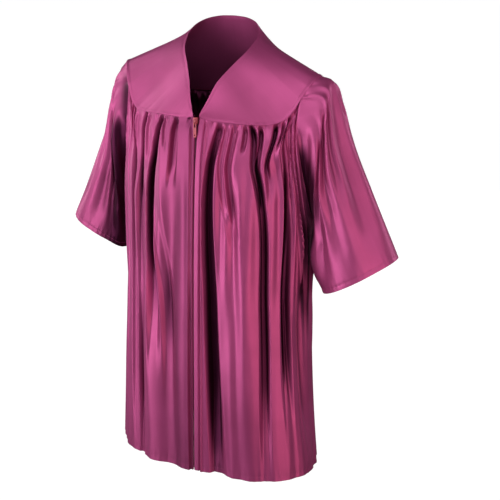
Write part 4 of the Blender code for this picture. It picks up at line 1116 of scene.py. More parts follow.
@dataclass(frozen=True)
class CoilFinish:
    """Dyed nylon of the zip's coil."""

    name: str = COIL_NYLON
    colour: Triple = (0.11, 0.013, 0.048)
    darker: Triple = (0.07, 0.008, 0.030)
    cloud_scale: float = 400.0
    rough_low: float = 0.36
    rough_more: float = 0.16

    def material(self) -> Material:
        """Nylon with a little clouding."""
        graph = Graph(self.name)
        place = graph.place()
        cloud = graph.noise(place, self.cloud_scale, 2.0)
        colour = graph.mix(cloud, self.darker, self.colour)
        rough = self.rough_low + self.rough_more * cloud
        return graph.finish(Base_Color=colour, Roughness=rough)


@dataclass(frozen=True)
class PaintFinish:
    """Coral paint on the zip's metal, worn paler in patches."""

    name: str = CORAL_PAINT
    colour: Triple = (0.40, 0.050, 0.075)
    worn: Triple = (0.52, 0.14, 0.16)
    peel_scale: float = 2500.0
    peel_bump: Pair = (0.15, 0.0001)
    wear_scale: float = 420.0
    wear_ramp: Pair = (0.56, 0.70)
    wear_most: float = 0.5
    rough_low: float = 0.42
    rough_more: float = 0.15
    metallic: float = 0.1
    coat: float = 0.15
    coat_rough: float = 0.3

    def material(self) -> Material:
        """Paint with fine orange peel and paler wear."""
        graph = Graph(self.name)
        place = graph.place()
        peel = graph.noise(place, self.peel_scale, 2.0)
        patch = graph.noise(place, self.wear_scale, 3.0).ramp(*self.wear_ramp)
        colour = graph.mix(self.wear_most * patch, self.colour, self.worn)
        rough = self.rough_low + self.rough_more * patch
        return graph.finish(
            Base_Color=colour, Roughness=rough, Metallic=self.metallic, Coat_Weight=self.coat,
            Coat_Roughness=self.coat_rough, Normal=graph.bump(peel, *self.peel_bump),
        )


@dataclass(frozen=True)
class ThreadFinish:
    """Spun polyester sewing thread."""

    name: str = "sewing_thread"
    colour: Triple = (0.42, 0.055, 0.19)
    darker: Triple = (0.30, 0.035, 0.13)
    fuzz_scale: float = 3000.0
    fuzz_bump: Pair = (0.4, 0.0001)
    rough: float = 0.55

    def material(self) -> Material:
        """Thread with its twist as a fine bump."""
        graph = Graph(self.name)
        place = graph.place()
        fuzz = graph.noise(place, self.fuzz_scale, 2.0)
        colour = graph.mix(fuzz, self.darker, self.colour)
        bump = graph.bump(fuzz, *self.fuzz_bump)
        return graph.finish(Base_Color=colour, Roughness=self.rough, Normal=bump)


@dataclass(frozen=True)
class FloorFinish:
    """White studio floor that glows, so that it fills the view evenly."""

    name: str = "studio_white"
    colour: Triple = (0.04, 0.04, 0.04)
    light: Triple = (1.0, 1.0, 1.0)
    glow: float = 1.0
    rough: float = 0.9

    def material(self) -> Material:
        """A plain pale floor."""
        graph = Graph(self.name)
        return graph.finish(
            Base_Color=colour4(self.colour), Roughness=self.rough,
            Emission_Color=colour4(self.light), Emission_Strength=self.glow,
        )


def fresh() -> None:
    """Deselects everything, so that the next operator acts on its own piece alone."""
    if bpy.context.object and bpy.context.object.mode != "OBJECT":
        bpy.ops.object.mode_set(mode="OBJECT")
    bpy.ops.object.select_all(action="DESELECT")


def only(piece: Piece) -> None:
    """Makes a piece the active one and the only one selected."""
    fresh()
    piece.select_set(True)
    bpy.context.view_layer.objects.active = piece


def smoothed(piece: Piece, angle: float) -> None:
    """Shades a piece smooth over edges flatter than an angle in degrees."""
    only(piece)
    bpy.ops.object.shade_smooth_by_angle(angle=math.radians(angle))


def new_piece(name: str, points: Array, faces: list, material: Material) -> Piece:
    """Makes a piece from its points and faces.

    Args:
        name: Its name.
        points: Its points.
        faces: The numbers of each face's points.
        material: Its finish.

    Returns:
        The piece, in the scene.
    """
    mesh = bpy.data.meshes.new(name)
    mesh.from_pydata(points.tolist(), [], faces)
    mesh.materials.append(material)
    mesh.update()
    piece = bpy.data.objects.new(name, mesh)
    bpy.context.scene.collection.objects.link(piece)
    return piece


def worn(pieces: Sequence[Piece], node: str, slot: str, body: str = "robe") -> None:
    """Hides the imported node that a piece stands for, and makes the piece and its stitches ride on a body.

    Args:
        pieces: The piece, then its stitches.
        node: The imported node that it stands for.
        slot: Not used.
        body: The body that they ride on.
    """
    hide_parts(node)
    for piece in pieces:
        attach(piece, body)


@dataclass
class ClothMesh:
    """Thin cloth from a grid of outer points, with an inner side and rims."""

    name: str
    outer: Array
    facing: Array
    flat_size: Pair
    round_trip: bool = False
    thickness: float = CLOTH
    smooth: float = 70.0
    # Painted shade for each point, and for the inner side where it differs
    painted_shade: Array | None = None
    inside: Array | None = None

    def slopes(self) -> Array:
        """Unit vectors square to the folded surface itself, in or out."""
        if self.round_trip:
            across = np.roll(self.outer, -1, axis=1) - np.roll(self.outer, 1, axis=1)
        else:
            across = np.gradient(self.outer, axis=1)
        return unit(np.cross(across, np.gradient(self.outer, axis=0)))

    def inner(self) -> Array:
        """The inner side: moved against the facing, further on slopes so that the cloth stays even."""
        slant = np.clip(np.abs((self.slopes() * self.facing).sum(axis=-1)), SLANT_LIMIT, 1.0)
        return self.outer - self.facing * (self.thickness / slant)[..., None]

    def normals(self) -> Array:
        """Unit vectors out of the folded surface itself."""
        slopes = self.slopes()
        return slopes * np.sign((slopes * self.facing).sum(axis=-1, keepdims=True))

    def sewn(self, name: str, row: Array, column: Array, thread: Material) -> Piece:
        """Sews a row of stitches on the cloth.

        Args:
            name: The stitches' name.
            row: Row numbers along the path, not whole.
            column: Its column numbers, not whole.
            thread: The stitches' finish.

        Returns:
            The stitches.
        """
        path, normals = self.at(self.outer, row, column), self.at(self.normals(), row, column)
        return StitchLine().build(name, path, normals, thread)

    def at(self, values: Array, row: Array, column: Array) -> Array:
        """Values of the grid between its rows and columns.

        Args:
            values: An array with a vector for each grid point.
            row: Row numbers, not whole.
            column: Column numbers, not whole.

        Returns:
            A vector for each place.
        """
        rows, columns = values.shape[:2]
        first = np.clip(np.floor(row).astype(int), 0, rows - 2)
        left = np.floor(column).astype(int)
        if not self.round_trip:
            left = np.clip(left, 0, columns - 2)
        right = (left + 1) % columns
        down, over = (row - first)[:, None], (column - left)[:, None]
        left = left % columns
        upper = values[first, left] * (1 - over) + values[first, right] * over
        lower = values[first + 1, left] * (1 - over) + values[first + 1, right] * over
        return upper * (1 - down) + lower * down

    def faces(self) -> Array:
        """The quads of both sides and of the rims."""
        rows, columns = self.outer.shape[:2]
        index = np.arange(rows * columns).reshape(rows, columns)
        if self.round_trip:
            index = np.concatenate([index, index[:, :1]], axis=1)
        quads = np.stack([index[:-1, :-1], index[:-1, 1:], index[1:, 1:], index[1:, :-1]], -1).reshape(-1, 4)
        count = rows * columns
        sides = [quads, (quads + count)[:, ::-1]]
        rims = [(index[0], False), (index[-1], True)]
        if not self.round_trip:
            rims += [(index[:, 0], True), (index[:, -1], False)]
        for line, turned in rims:
            rim = np.stack([line[1:], line[:-1], line[:-1] + count, line[1:] + count], -1)
            sides.append(rim[:, ::-1] if turned else rim)
        return np.concatenate(sides)

    def build(self, material: Material) -> Piece:
        """Makes the piece, with a UV map in metres of flat cloth.

        Args:
            material: Its finish.

        Returns:
            The piece.
        """
        rows, columns = self.outer.shape[:2]
        quads = self.faces()
        centre = (rows // 2, columns // 2)
        across = self.outer[centre[0], centre[1] + 1] - self.outer[centre]
        along = self.outer[centre[0] + 1, centre[1]] - self.outer[centre]
        if np.dot(np.cross(across, along), self.facing[centre]) < 0:
            quads = quads[:, ::-1]
        points = np.concatenate([self.outer.reshape(-1, 3), self.inner().reshape(-1, 3)])
        piece = new_piece(self.name, points, quads.tolist(), material)
        mesh = piece.data
        wide = np.broadcast_to(np.linspace(0.0, self.flat_size[0], columns)[None, :], (rows, columns))
        long = np.broadcast_to(np.linspace(self.flat_size[1], 0.0, rows)[:, None], (rows, columns))
        flat = np.stack([wide, long], axis=-1).reshape(-1, 2)
        flat = np.concatenate([flat, flat])
        corners = np.empty(len(mesh.loops), np.int32)
        mesh.loops.foreach_get("vertex_index", corners)
        layer = mesh.uv_layers.new(name=CLOTH_UV)
        layer.data.foreach_set("uv", flat[corners].astype(np.float32).ravel())
        # The painted shade of each point, outer side then inner side
        if self.painted_shade is not None:
            deep = mesh.attributes.new(PAINTED_SHADE, "FLOAT", "POINT")
            inside = self.painted_shade if self.inside is None else self.inside
            both = np.concatenate([self.painted_shade.ravel(), inside.ravel()])
            deep.data.foreach_set("value", both.astype(np.float32))
        smoothed(piece, self.smooth)
        return piece


@dataclass(frozen=True)
class StitchLine:
    """A row of machine stitches along a path on the cloth."""

    pitch: float = 0.0032
    length: float = 0.0024
    radius: float = 0.00026
    sunk: float = 0.00008
    sides: int = 6
    rings: tuple[Pair, ...] = ((-0.38, 0.8), (0.0, 1.0), (0.38, 0.8))

    def build(self, name: str, path: Array, normals: Array, material: Material) -> Piece:
        """Makes the stitches as one mesh.

        Args:
            name: The piece's name.
            path: Points along the line, close together.
            normals: The way the cloth faces at each.
            material: The thread's finish.

        Returns:
            The piece.
        """
        steps = np.linalg.norm(np.diff(path, axis=0), axis=1)
        way = np.concatenate(([0.0], np.cumsum(steps)))
        count = max(2, int(way[-1] / self.pitch))
        middles = (np.arange(count) + 0.5) * way[-1] / count

        def read(values: Array, shift: float) -> Array:
            """Vectors at a distance from the stitches' middles."""
            return between(middles + shift, way, values)

        start, stop = read(path, -0.5 * self.length), read(path, 0.5 * self.length)
        up, along = unit(read(normals, 0.0)), unit(stop - start)
        over = unit(np.cross(along, up))
        centre = (start + stop) / 2 + up * (self.radius - self.sunk)
        points = []
        for station, size in self.rings:
            for side in range(self.sides):
                turn = 2 * math.pi * side / self.sides
                ring = over * math.cos(turn) + up * math.sin(turn)
                points.append(centre + along * self.length * station + ring * self.radius * size)
        points += [centre + along * self.length * end for end in (-0.5, 0.5)]
        cloud = np.stack(points, axis=1)
        each = cloud.shape[1]
        faces = []
        for side in range(self.sides):
            after = (side + 1) % self.sides
            faces.append((each - 2, after, side))
            for low in range(0, (len(self.rings) - 1) * self.sides, self.sides):
                high = low + self.sides
                faces.append((low + side, low + after, high + after))
                faces.append((low + side, high + after, high + side))
            faces.append((each - 2 - self.sides + side, each - 2 - self.sides + after, each - 1))
        faces = (np.array(faces)[None] + each * np.arange(count)[:, None, None]).reshape(-1, 3)
        piece = new_piece(name, cloud.reshape(-1, 3), faces.tolist(), material)
        piece.data.shade_smooth()
        return piece


def shade_in_folds(depth: Array, most: float = 0.93, start: float = 0.0038, fade: float = 0.0100) -> Array:
    """Painted shade in the folds: how dark each point is painted for how deep it lies in a fold, 0 to 1,
    with a row more for the tucked edge.

    Args:
        depth: How far the cloth lies in, for each point.
        most: The share in the deepest folds.
        start: The depth at which a fold starts to darken.
        fade: How much deeper it is darkest.

    Returns:
        A share for each point.
    """
    deep = most * smooth_step((depth - start) / fade)
    return np.concatenate([deep[:1], deep])


def tucked(outer: Array, facing: Array, way: Array, sunk: float) -> tuple:
    """A grid with a row more at its start, tucked under the next piece.

    Args:
        outer: The grid's points.
        facing: The way that they face.
        way: How far the new row lies from the first one, along the cloth.
        sunk: How far it lies in.

    Returns:
        The points and the way that they face.
    """
    first = outer[:1] + way - facing[:1] * sunk
    return np.concatenate([first, outer]), np.concatenate([facing[:1], facing])


def hem_path(cloth: ClothMesh, height: float, first: float, count: int) -> tuple[Array, Array]:
    """A path at a height above the hem of a front or the back.

    Args:
        cloth: Its cloth.
        height: The height.
        first: The column where the path starts.
        count: The number of places on it.

    Returns:
        The path's row and column numbers.
    """
    rows, columns = cloth.outer.shape[:2]
    column = np.linspace(first, columns - 1.0, count)
    length = np.interp(column, np.arange(columns), cloth.outer[1, :, 2] - HEM_Z)
    return 1 + (1 - height / length) ** (1 / ROW_POWER) * (rows - 2), column


@dataclass(frozen=True)
class Fullness:
    """Broad soft waves of hanging cloth and finer ripples, each with its own place, width and drift."""

    depth: float = 0.0050
    ripple_depth: float = 0.0019
    begins: float = 0.16
    fade: Pair = (0.4, 0.7)
    seed: int = 5
    round_trip: bool = False

    def depth_at(self, share: Array, down: Array) -> Array:
        """The waves' depth, from shares of the girth and of the height.

        Args:
            share: Shares of the girth.
            down: Shares of the height.

        Returns:
            A depth for each point, in metres.
        """
        dice = np.random.default_rng(self.seed)
        depth = np.zeros_like(share)
        lower = smooth_step((down - self.fade[0]) / (self.fade[1] - self.fade[0]))
        for waves, most in ((BROAD_WAVES, self.depth), (RIPPLES, self.ripple_depth)):
            amount = (1 - waves.lower_fade * lower) * most / math.sqrt(waves.count)
            for _ in range(waves.count):
                turns = dice.integers(*waves.whole_turns) if self.round_trip else dice.uniform(*waves.turns)
                drift = dice.uniform(-waves.drift, waves.drift)
                phase = dice.uniform(0.0, 2 * math.pi)
                swell = np.sin(math.pi * down * dice.uniform(*waves.swell_turns) + dice.uniform(0.0, 6.0))
                wave = np.sin(2 * math.pi * turns * share + drift * down + phase)
                depth += wave * (waves.steady + (1 - waves.steady) * swell) * amount
        return depth * smooth_step((down - 0.5 * self.begins) / self.begins)


@dataclass(frozen=True)
class Hem:
    """A hem turned in and stitched down."""

    height: float = 0.0090
    groove: float = 0.0005
    groove_width: float = 0.0016
    pucker: float = 0.0002
    pucker_length: float = 0.011
    pucker_reach: float = 1.4
    wander: float = 2.1
    wander_turns: float = 37.0

    def relief(self, above: Array, along: Array) -> Array:
        """How far the hem pushes the cloth inwards.

        Args:
            above: The distance above the free edge.
            along: The distance along the edge.

        Returns:
            A depth for each point.
        """
        groove = self.groove * bell(above - self.height, self.groove_width)
        wander = self.wander * np.sin(along * self.wander_turns)
        uneven = np.sin(2 * math.pi * along / self.pucker_length + wander)
        near = bell(above - self.height, self.pucker_reach * self.height)
        return groove + self.pucker * uneven * near


class Satin:
    """A sewn piece of satin. Each kind gives its grid of points and its rows of stitches."""

    name: str
    held: str
    rests_on: tuple[str, ...] = ()
    flat_size: Pair
    flat_area: float

    def surface(self) -> ClothMesh:
        """The piece's grid of points."""
        raise NotImplementedError

    def seams(self, cloth: ClothMesh) -> list[tuple[str, Array, Array]]:
        """The rows of stitches on its cloth: a name, row numbers and column numbers for each."""
        raise NotImplementedError

    def build(self, satin: Material, thread: Material) -> list[Piece]:
        """Makes the piece and its stitches.

        Args:
            satin: The cloth's finish.
            thread: The stitches' finish.

        Returns:
            The pieces, the cloth first.
        """
        cloth = self.surface()
        piece = cloth.build(satin)
        stitches = [cloth.sewn(name, row, column, thread) for name, row, column in self.seams(cloth)]
        worn((piece, *stitches), self.name.removeprefix("satin_"), ORCHID_SATIN)
        rests = {"rests_on": list(self.rests_on)} if self.rests_on else {}
        return [piece, *stitches]


@dataclass
class Gathered(Satin):
    """What a gathered front and the back share: their folds, their waves and their hem."""

    pleating: Pleating
    fullness: Fullness
    form: RobeForm = RobeForm()
    hem: Hem = Hem()
    tuck: float = 0.0020
    tuck_sunk: float = 1.5
    held: str = "gathered"

    def folds(self, share: Array, down: Array, drop: Array) -> Array:
        """How far folds, gathers and waves push the cloth inwards.

        Args:
            share: Shares across, on a grid of even rows.
            down: Shares of the height.
            drop: Distances below the yoke seam or the armhole.

        Returns:
            A depth for each point.
        """
        beside = np.abs(share)
        folds = self.pleating.depth(share, down, girth_at(down)) - self.form.puff(beside, drop)
        folds *= smooth_step(drop / SEAM_FADE)
        gathers = self.pleating.gathering(self.pleating.origin(share, down), drop, GIRTH_AT_SEAM)
        folds += gathers * smooth_step(drop / GATHER_START)
        folds += self.fullness.depth_at(share, down)
        return folds * smooth_step((1 - beside) / SIDE_FADE)

    def hung(self, points: Array, facing: Array, depth: Array) -> tuple:
        """The grid pushed in by its depths, with its tucked edge, and the way that it faces."""
        outer = points - facing * depth[..., None]
        return tucked(outer, facing, unit(outer[:1] - outer[1:2]) * self.tuck, self.tuck_sunk * CLOTH)


@dataclass
class Front(Gathered):
    """A gathered front, from the yoke seam and the armhole to the hem, with the band beside the zip."""

    side: Side = Side.LEFT
    band: float = 0.0168
    rows: int = 172
    seam_columns: int = 208
    side_columns: int = 40
    band_flat: float = 0.55
    band_from: float = 0.01
    groove_place: float = 0.0127
    groove_width: float = 0.0016
    band_groove: float = 0.0030
    band_ridge: float = 0.0018
    ridge_width: float = 0.0022
    edge_roll: float = 0.0014
    edge_roll_width: float = 1.6
    # Painted shade beside the zip, and how far from the zip it fades out
    band_tone: float = 0.17
    band_tone_reach: float = 0.085
    # The painted shadow below the arm: how dark, and where it starts and ends across and down
    arm_shadow: float = 0.0
    shadow_beside: Pair = (0.84, 0.07)
    shadow_above: Pair = (0.06, 0.08)
    shadow_below: Pair = (0.50, 0.16)
    stitches_from: float = 4.0
    stitch_steps: int = 500
    hem_from: float = 2.0
    hem_steps: int = 700
    flat_size: Pair = (0.36, 0.66)
    flat_area: float = 0.205

    @property
    def name(self) -> str:
        """The piece's name."""
        return f"satin_front_{self.side.name.lower()}"

    def laid(self, share: Array, down: Array) -> tuple[Array, Array, Array]:
        """The smooth form under the front, and how far its cloth lies in from it.

        Args:
            share: Shares of the half girth, on a grid of even rows.
            down: Shares of the height.

        Returns:
            Points, the way they face, and a depth for each.
        """
        points, facing = laid_on(self.form.panel, self.side, share, down)
        top = self.form.top_line(self.side.value, False, share)[..., 2]
        drop = top - points[..., 2]
        from_zip = share * girth_at(down)
        flat = smooth_step((from_zip / self.band - self.band_flat) / (1 - self.band_flat))
        groove = self.band_groove * bell(from_zip - self.groove_place, self.groove_width)
        groove -= self.band_ridge * bell(from_zip - self.band, self.ridge_width)
        depth = self.folds(share, down, drop) * flat + groove * smooth_step(drop / self.band_from)
        hem = self.hem.relief((1 - down) * (top - HEM_Z), share * GIRTH_AT_HEM)
        return points, facing, depth + hem * smooth_step(from_zip / self.band)

    def tone(self, share: Array, down: Array) -> Array:
        """Painted shade: how much darker the cloth is painted beside the zip, and the painted shadow below
        the arm, with a row more for the tucked edge.

        Args:
            share: Shares of the half girth.
            down: Shares of the height.

        Returns:
            A share for each point, 0 to 1.
        """
        beside_zip = self.band_tone * (1 - smooth_step(share * girth_at(down) / self.band_tone_reach))
        beside, above, below = self.shadow_beside, self.shadow_above, self.shadow_below
        arm = self.arm_shadow * smooth_step((share - beside[0]) / beside[1])
        arm = arm * smooth_step((down - above[0]) / above[1]) * smooth_step((below[0] - down) / below[1])
        tone = np.maximum(beside_zip, arm)
        return np.concatenate([tone[:1], tone])

    def surface(self) -> ClothMesh:
        """The front's grid of points, with its gathers, folds, band and hem."""
        below_seam = np.linspace(0, CORNER_SHARE, self.seam_columns)
        below_arm = np.linspace(CORNER_SHARE, 1, self.side_columns)[1:]
        rows = np.linspace(0, 1, self.rows) ** ROW_POWER
        share, down = np.meshgrid(np.concatenate([below_seam, below_arm]), rows)
        points, facing, depth = self.laid(share, down)
        near_edge = np.clip(1 - share * girth_at(down) / (self.edge_roll_width * self.edge_roll), 0.0, 1.0)
        depth += self.edge_roll * near_edge**2
        outer, facing = self.hung(points, facing, depth)
        # Painted shade in the folds, beside the zip and below the arm
        painted_shade = np.maximum(shade_in_folds(depth), self.tone(share, down))
        return ClothMesh(self.name, outer, facing, self.flat_size, painted_shade=painted_shade)

    @property
    def rests_on(self) -> tuple[str, ...]:
        """The piece of the yoke that it hangs from."""
        return (f"satin_yoke_front_{self.side.name.lower()}",)

    def seams(self, cloth: ClothMesh) -> list[tuple[str, Array, Array]]:
        """The stitches along the band and the hem.

        Args:
            cloth: The piece's cloth.

        Returns:
            A name, row numbers and column numbers for each row.
        """
        side = self.side.name.lower()
        row = np.linspace(self.stitches_from, self.rows, self.stitch_steps)
        girth = girth_at(((row - 1) / (self.rows - 1)) ** ROW_POWER)
        column = self.band / girth / CORNER_SHARE * (self.seam_columns - 1)
        hem = hem_path(cloth, self.hem.height, self.hem_from, self.hem_steps)
        return [(f"stitches_band_{side}", row, column), (f"stitches_hem_{side}", *hem)]


@dataclass
class Back(Gathered):
    """The gathered back, from side seam to side seam."""

    name: str = "satin_back"
    rests_on: tuple[str, ...] = ("satin_yoke_back",)
    rows: int = 150
    seam_columns: int = 208
    side_columns: int = 30
    hem_steps: int = 1300
    # Painted shade on the back's inner side: darkest at the top, lighter towards the hem
    inside_top: float = 0.80
    inside_steps: Pair = (0.40, 0.20)
    inside_fade: Pair = (0.02, 0.08)
    flat_size: Pair = (0.72, 0.66)
    flat_area: float = 0.41

    def surface(self) -> ClothMesh:
        """The back's grid of points, with its gathers, folds and hem."""
        half = np.linspace(CORNER_SHARE, 1, self.side_columns)[1:]
        middle = np.linspace(-CORNER_SHARE, CORNER_SHARE, self.seam_columns)
        rows = np.linspace(0, 1, self.rows) ** ROW_POWER
        share, down = np.meshgrid(np.concatenate([-half[::-1], middle, half]), rows)
        points, facing = laid_on(self.form.panel, None, share, down)
        top = points[:1, :, 2]
        depth = self.folds(share, down, top - points[..., 2])
        depth += self.hem.relief((1 - down) * (top - HEM_Z), share * GIRTH_AT_HEM)
        outer, facing = self.hung(points, facing, depth)
        # Painted shade on the inner side, darkest below the yoke seam and lighter towards the hem
        way = np.concatenate([down[:1], down])
        start, fade = self.inside_fade
        high, low = self.inside_steps
        inside = self.inside_top - high * smooth_step((way - start) / fade) - low * smooth_step(way)
        return ClothMesh(self.name, outer, facing, self.flat_size, painted_shade=shade_in_folds(depth), inside=inside)

    def seams(self, cloth: ClothMesh) -> list[tuple[str, Array, Array]]:
        """The stitches along the hem."""
        return [("stitches_hem_back", *hem_path(cloth, self.hem.height, 0.0, self.hem_steps))]


@dataclass
class YokePart(Satin):
    """A plain piece of the yoke: half of the front, or the whole back where no side is given."""

    side: Side | None
    form: RobeForm = RobeForm()
    held: str = "draped"
    rows: int = 60
    columns: int = 120
    roll: float = 0.0009
    roll_reach: float = 0.0032
    roll_sunk: float = 0.4
    overlap: float = 0.0016
    edge_stitch: float = 0.0060
    edge_groove: float = 0.0004
    edge_groove_width: float = 0.0012
    seam_stitch: float = 0.0040
    stitch_steps: int = 500
    puckers: int = 26
    pucker: float = 0.0004
    pucker_width: Pair = (0.012, 0.030)
    pucker_reach: Pair = (0.006, 0.030)
    pucker_lean: float = 0.25
    # Painted shade: the back yoke's tucked edge painted dark, and the inner side painted a little darker
    # away from the neck
    edge_painted_shade: float = 0.9
    inside_painted_shade: float = 0.08
    inside_fade: Pair = (0.1, 0.7)
    flat_size: Pair = (0.19, 0.15)
    flat_area: float = 0.0175
    seed: int = 4

    @property
    def name(self) -> str:
        """The piece's name."""
        return f"satin_yoke_front_{self.side.name.lower()}" if self.side else "satin_yoke_back"

    def relief(self, share: Array, down: Array, height: Array) -> Array:
        """How far the sewing pushes the yoke inwards: a rolled seam below, soft pulls above it.

        Args:
            share: Shares across.
            down: Shares of the way from the neck to the seam.
            height: The length of that way for each column.

        Returns:
            A depth for each point.
        """
        dice = np.random.default_rng(self.seed)
        from_seam = (1 - down) * height
        depth = -self.roll * bell(from_seam, self.roll_reach)
        depth += self.edge_groove * bell(down * height - self.edge_stitch, self.edge_groove_width)
        for _ in range(self.puckers):
            place = dice.uniform(-1.0, 1.0) if self.side is None else dice.uniform(0.0, 1.0)
            wide = dice.uniform(*self.pucker_width)
            reach = dice.uniform(*self.pucker_reach)
            lean = dice.uniform(-self.pucker_lean, self.pucker_lean)
            near = bell(share - place - lean * from_seam, wide)
            depth += self.pucker * dice.uniform(0.2, 1.0) * near * np.exp(-from_seam / reach)
        return depth

    def surface(self) -> ClothMesh:
        """The yoke's grid of points."""
        low, columns = (0.0, self.columns) if self.side else (-1.0, 2 * self.columns)
        rows = 1 - np.linspace(1, 0, self.rows) ** YOKE_ROW_POWER
        share, down = np.meshgrid(np.linspace(low, 1, columns), rows)
        points, facing = laid_on(self.form.yoke, self.side, share, down)
        if self.side is None:
            points, facing = eased(points, share), unit(eased(facing, share))
        height = np.linalg.norm(points[-1] - points[0], axis=-1)[None]
        outer = points - facing * self.relief(share, down, height)[..., None]
        lap = unit(outer[-1:] - outer[-2:-1]) * self.overlap
        outer, facing = tucked(outer[::-1], facing[::-1], lap, self.roll_sunk * self.roll)
        # Painted shade: the inner side a little darker away from the neck, the back yoke's tucked edge dark
        start, fade = self.inside_fade
        inside = smooth_step((np.concatenate([down, down[-1:]]) - start) / fade)
        painted_shade = np.zeros_like(inside)
        painted_shade[-1] = 0.0 if self.side else self.edge_painted_shade
        inside = self.inside_painted_shade * inside
        return ClothMesh(self.name, outer[::-1], facing[::-1], self.flat_size, painted_shade=painted_shade, inside=inside)

    def seams(self, cloth: ClothMesh) -> list[tuple[str, Array, Array]]:
        """The stitches along the neck, and those above the yoke seam.

        Args:
            cloth: The piece's cloth.

        Returns:
            A name, row numbers and column numbers for each row.
        """
        columns = cloth.outer.shape[1]
        column = np.linspace(0.0, columns - 1.0, self.stitch_steps)
        height = np.linalg.norm(cloth.outer[-2] - cloth.outer[0], axis=-1)
        height = np.interp(column, np.arange(columns), height)
        name = self.name.replace("satin", "stitches")
        neck, seam = (
            (1 - way ** (1 / YOKE_ROW_POWER)) * (self.rows - 1)
            for way in (1 - self.edge_stitch / height, self.seam_stitch / height)
        )
        return [(name, neck, column), (f"{name}_seam", seam, column)]


@dataclass
class Sleeve(Satin):
    """An open bell sleeve, gathered into its armhole."""

    side: Side
    pleating: Pleating
    fullness: Fullness
    form: RobeForm = RobeForm()
    hem: Hem = Hem(height=0.0085)
    held: str = "hung"
    rows: int = 116
    columns: int = 216
    tuck: float = 0.0020
    tuck_sunk: float = 1.2
    cap: Pair = (0.15, 0.05)
    dip: float = 0.005
    dip_from: Pair = (0.16, 0.06)
    dip_start: float = 0.005
    dip_end: Pair = (0.028, 0.014)
    fold_shade: float = 0.45
    shaded: float = 0.95
    shade_from: Pair = (0.16, 0.24)
    shade_grows: Pair = (0.06, 0.08)
    shade_until: Pair = (0.80, 0.15)
    shade_turn: float = 0.35
    shade_ends: Pair = (2.0, 3.0)
    seam_shade: Pair = (0.03, 0.42)
    seam_fades: Pair = (0.07, 0.10)
    seam_reach: float = 0.026
    seam_reach_fade: float = 0.8
    hem_steps: int = 900
    flat_size: Pair = (0.48, 0.36)
    flat_area: float = 0.105

    @property
    def name(self) -> str:
        """The piece's name."""
        return f"satin_sleeve_{self.side.name.lower()}"

    def shade(self, around: Array, down: Array, way: Array) -> Array:
        """The shadow between the sleeve and the body.

        Args:
            around: Shares of the turn.
            down: Shares of the sleeve's length.
            way: Distances from the armhole's seam.

        Returns:
            How dark each point is, 0 to 1, with a row more for the tucked edge.
        """
        high, low = self.shade_from
        start = high + (low - high) * smooth_step(down / self.shade_turn)
        grows, longer = self.shade_grows
        last, fade = self.shade_until
        under = smooth_step((around - start) / (grows + longer * down)) * smooth_step((last - around) / fade)
        first, last = self.shade_ends
        under = under * smooth_step((last - down) / (last - first))
        front, below = self.seam_shade
        into, out = self.seam_fades
        beside = smooth_step((around - front) / into) * smooth_step((below - around) / out)
        beside = beside * smooth_step((self.seam_reach - way) / (self.seam_reach_fade * self.seam_reach))
        under = np.maximum(under, beside)
        return self.shaded * np.concatenate([under[:1], under])

    def surface(self) -> ClothMesh:
        """The sleeve's grid of points, with its gathers, folds and hem."""
        sign = self.side.value
        rows = np.linspace(0, 1, self.rows) ** SLEEVE_ROW_POWER
        around, down = np.meshgrid(np.arange(self.columns) / self.columns, rows)

        def shell(turn: Array, below: Array) -> Array:
            """Points of the smooth sleeve."""
            return self.form.sleeve(sign, turn, below)

        facing = sign * facing_of(shell, around, down)
        points = shell(around, down)
        way = way_down(points)
        origin = self.pleating.origin(around, down)
        folds = self.pleating.depth(around, down, SLEEVE_GIRTH) + self.fullness.depth_at(around, down)
        folds *= smooth_step(down / SLEEVE_SEAM_FADE)
        last, fade = self.cap
        cap = smooth_step((last - from_tip(origin)) / fade)
        gathers = self.pleating.gathering(origin, way, SLEEVE_GIRTH)
        folds += cap * gathers * smooth_step(way / GATHER_START)
        start, fade = self.dip_from
        last, out = self.dip_end
        dip = smooth_step((from_tip(around) - start) / fade) * smooth_step(way / self.dip_start)
        folds += self.dip * dip * smooth_step((last - way) / out)
        depth = folds + self.hem.relief(way[-1:] - way, around * SLEEVE_GIRTH)
        outer = points - facing * depth[..., None]
        inwards = np.array([-sign, 0.0, 0.0])
        outer, facing = tucked(outer, facing, inwards * self.tuck, self.tuck_sunk * CLOTH)
        # Painted shade in the folds, and the painted shadow between the sleeve and the body
        painted_shade = np.maximum(shade_in_folds(depth, self.fold_shade), self.shade(around, down, way))
        return ClothMesh(self.name, outer, facing, self.flat_size, round_trip=True, painted_shade=painted_shade)

    def seams(self, cloth: ClothMesh) -> list[tuple[str, Array, Array]]:
        """The stitches round the cuff.

        Args:
            cloth: The piece's cloth.

        Returns:
            A name, row numbers and column numbers for each row.
        """
        way = way_down(cloth.outer[1:])
        rows = np.arange(self.rows)
        row = [1 + np.interp(line[-1] - self.hem.height, line, rows) for line in way.T]
        column = np.linspace(0.0, self.columns, self.hem_steps)
        row = np.interp(column, np.arange(self.columns + 1), row + row[:1])
        return [(f"stitches_cuff_{self.side.name.lower()}", row, column)]


def added(name: str, size: Triple, place: Triple) -> Piece:
    """Adds a box and leaves it in edit mode with all of it selected.

    Args:
        name: The piece's name.
        size: Its sizes along X, Y and Z.
        place: Its middle.

    Returns:
        The piece.
    """
    fresh()
    bpy.ops.mesh.primitive_cube_add(size=1, location=place, scale=size)
    piece = bpy.context.object
    piece.name = piece.data.name = name
    bpy.ops.object.transform_apply(location=True, rotation=False, scale=True)
    bpy.ops.object.mode_set(mode="EDIT")
    bpy.ops.mesh.select_all(action="SELECT")
    return piece


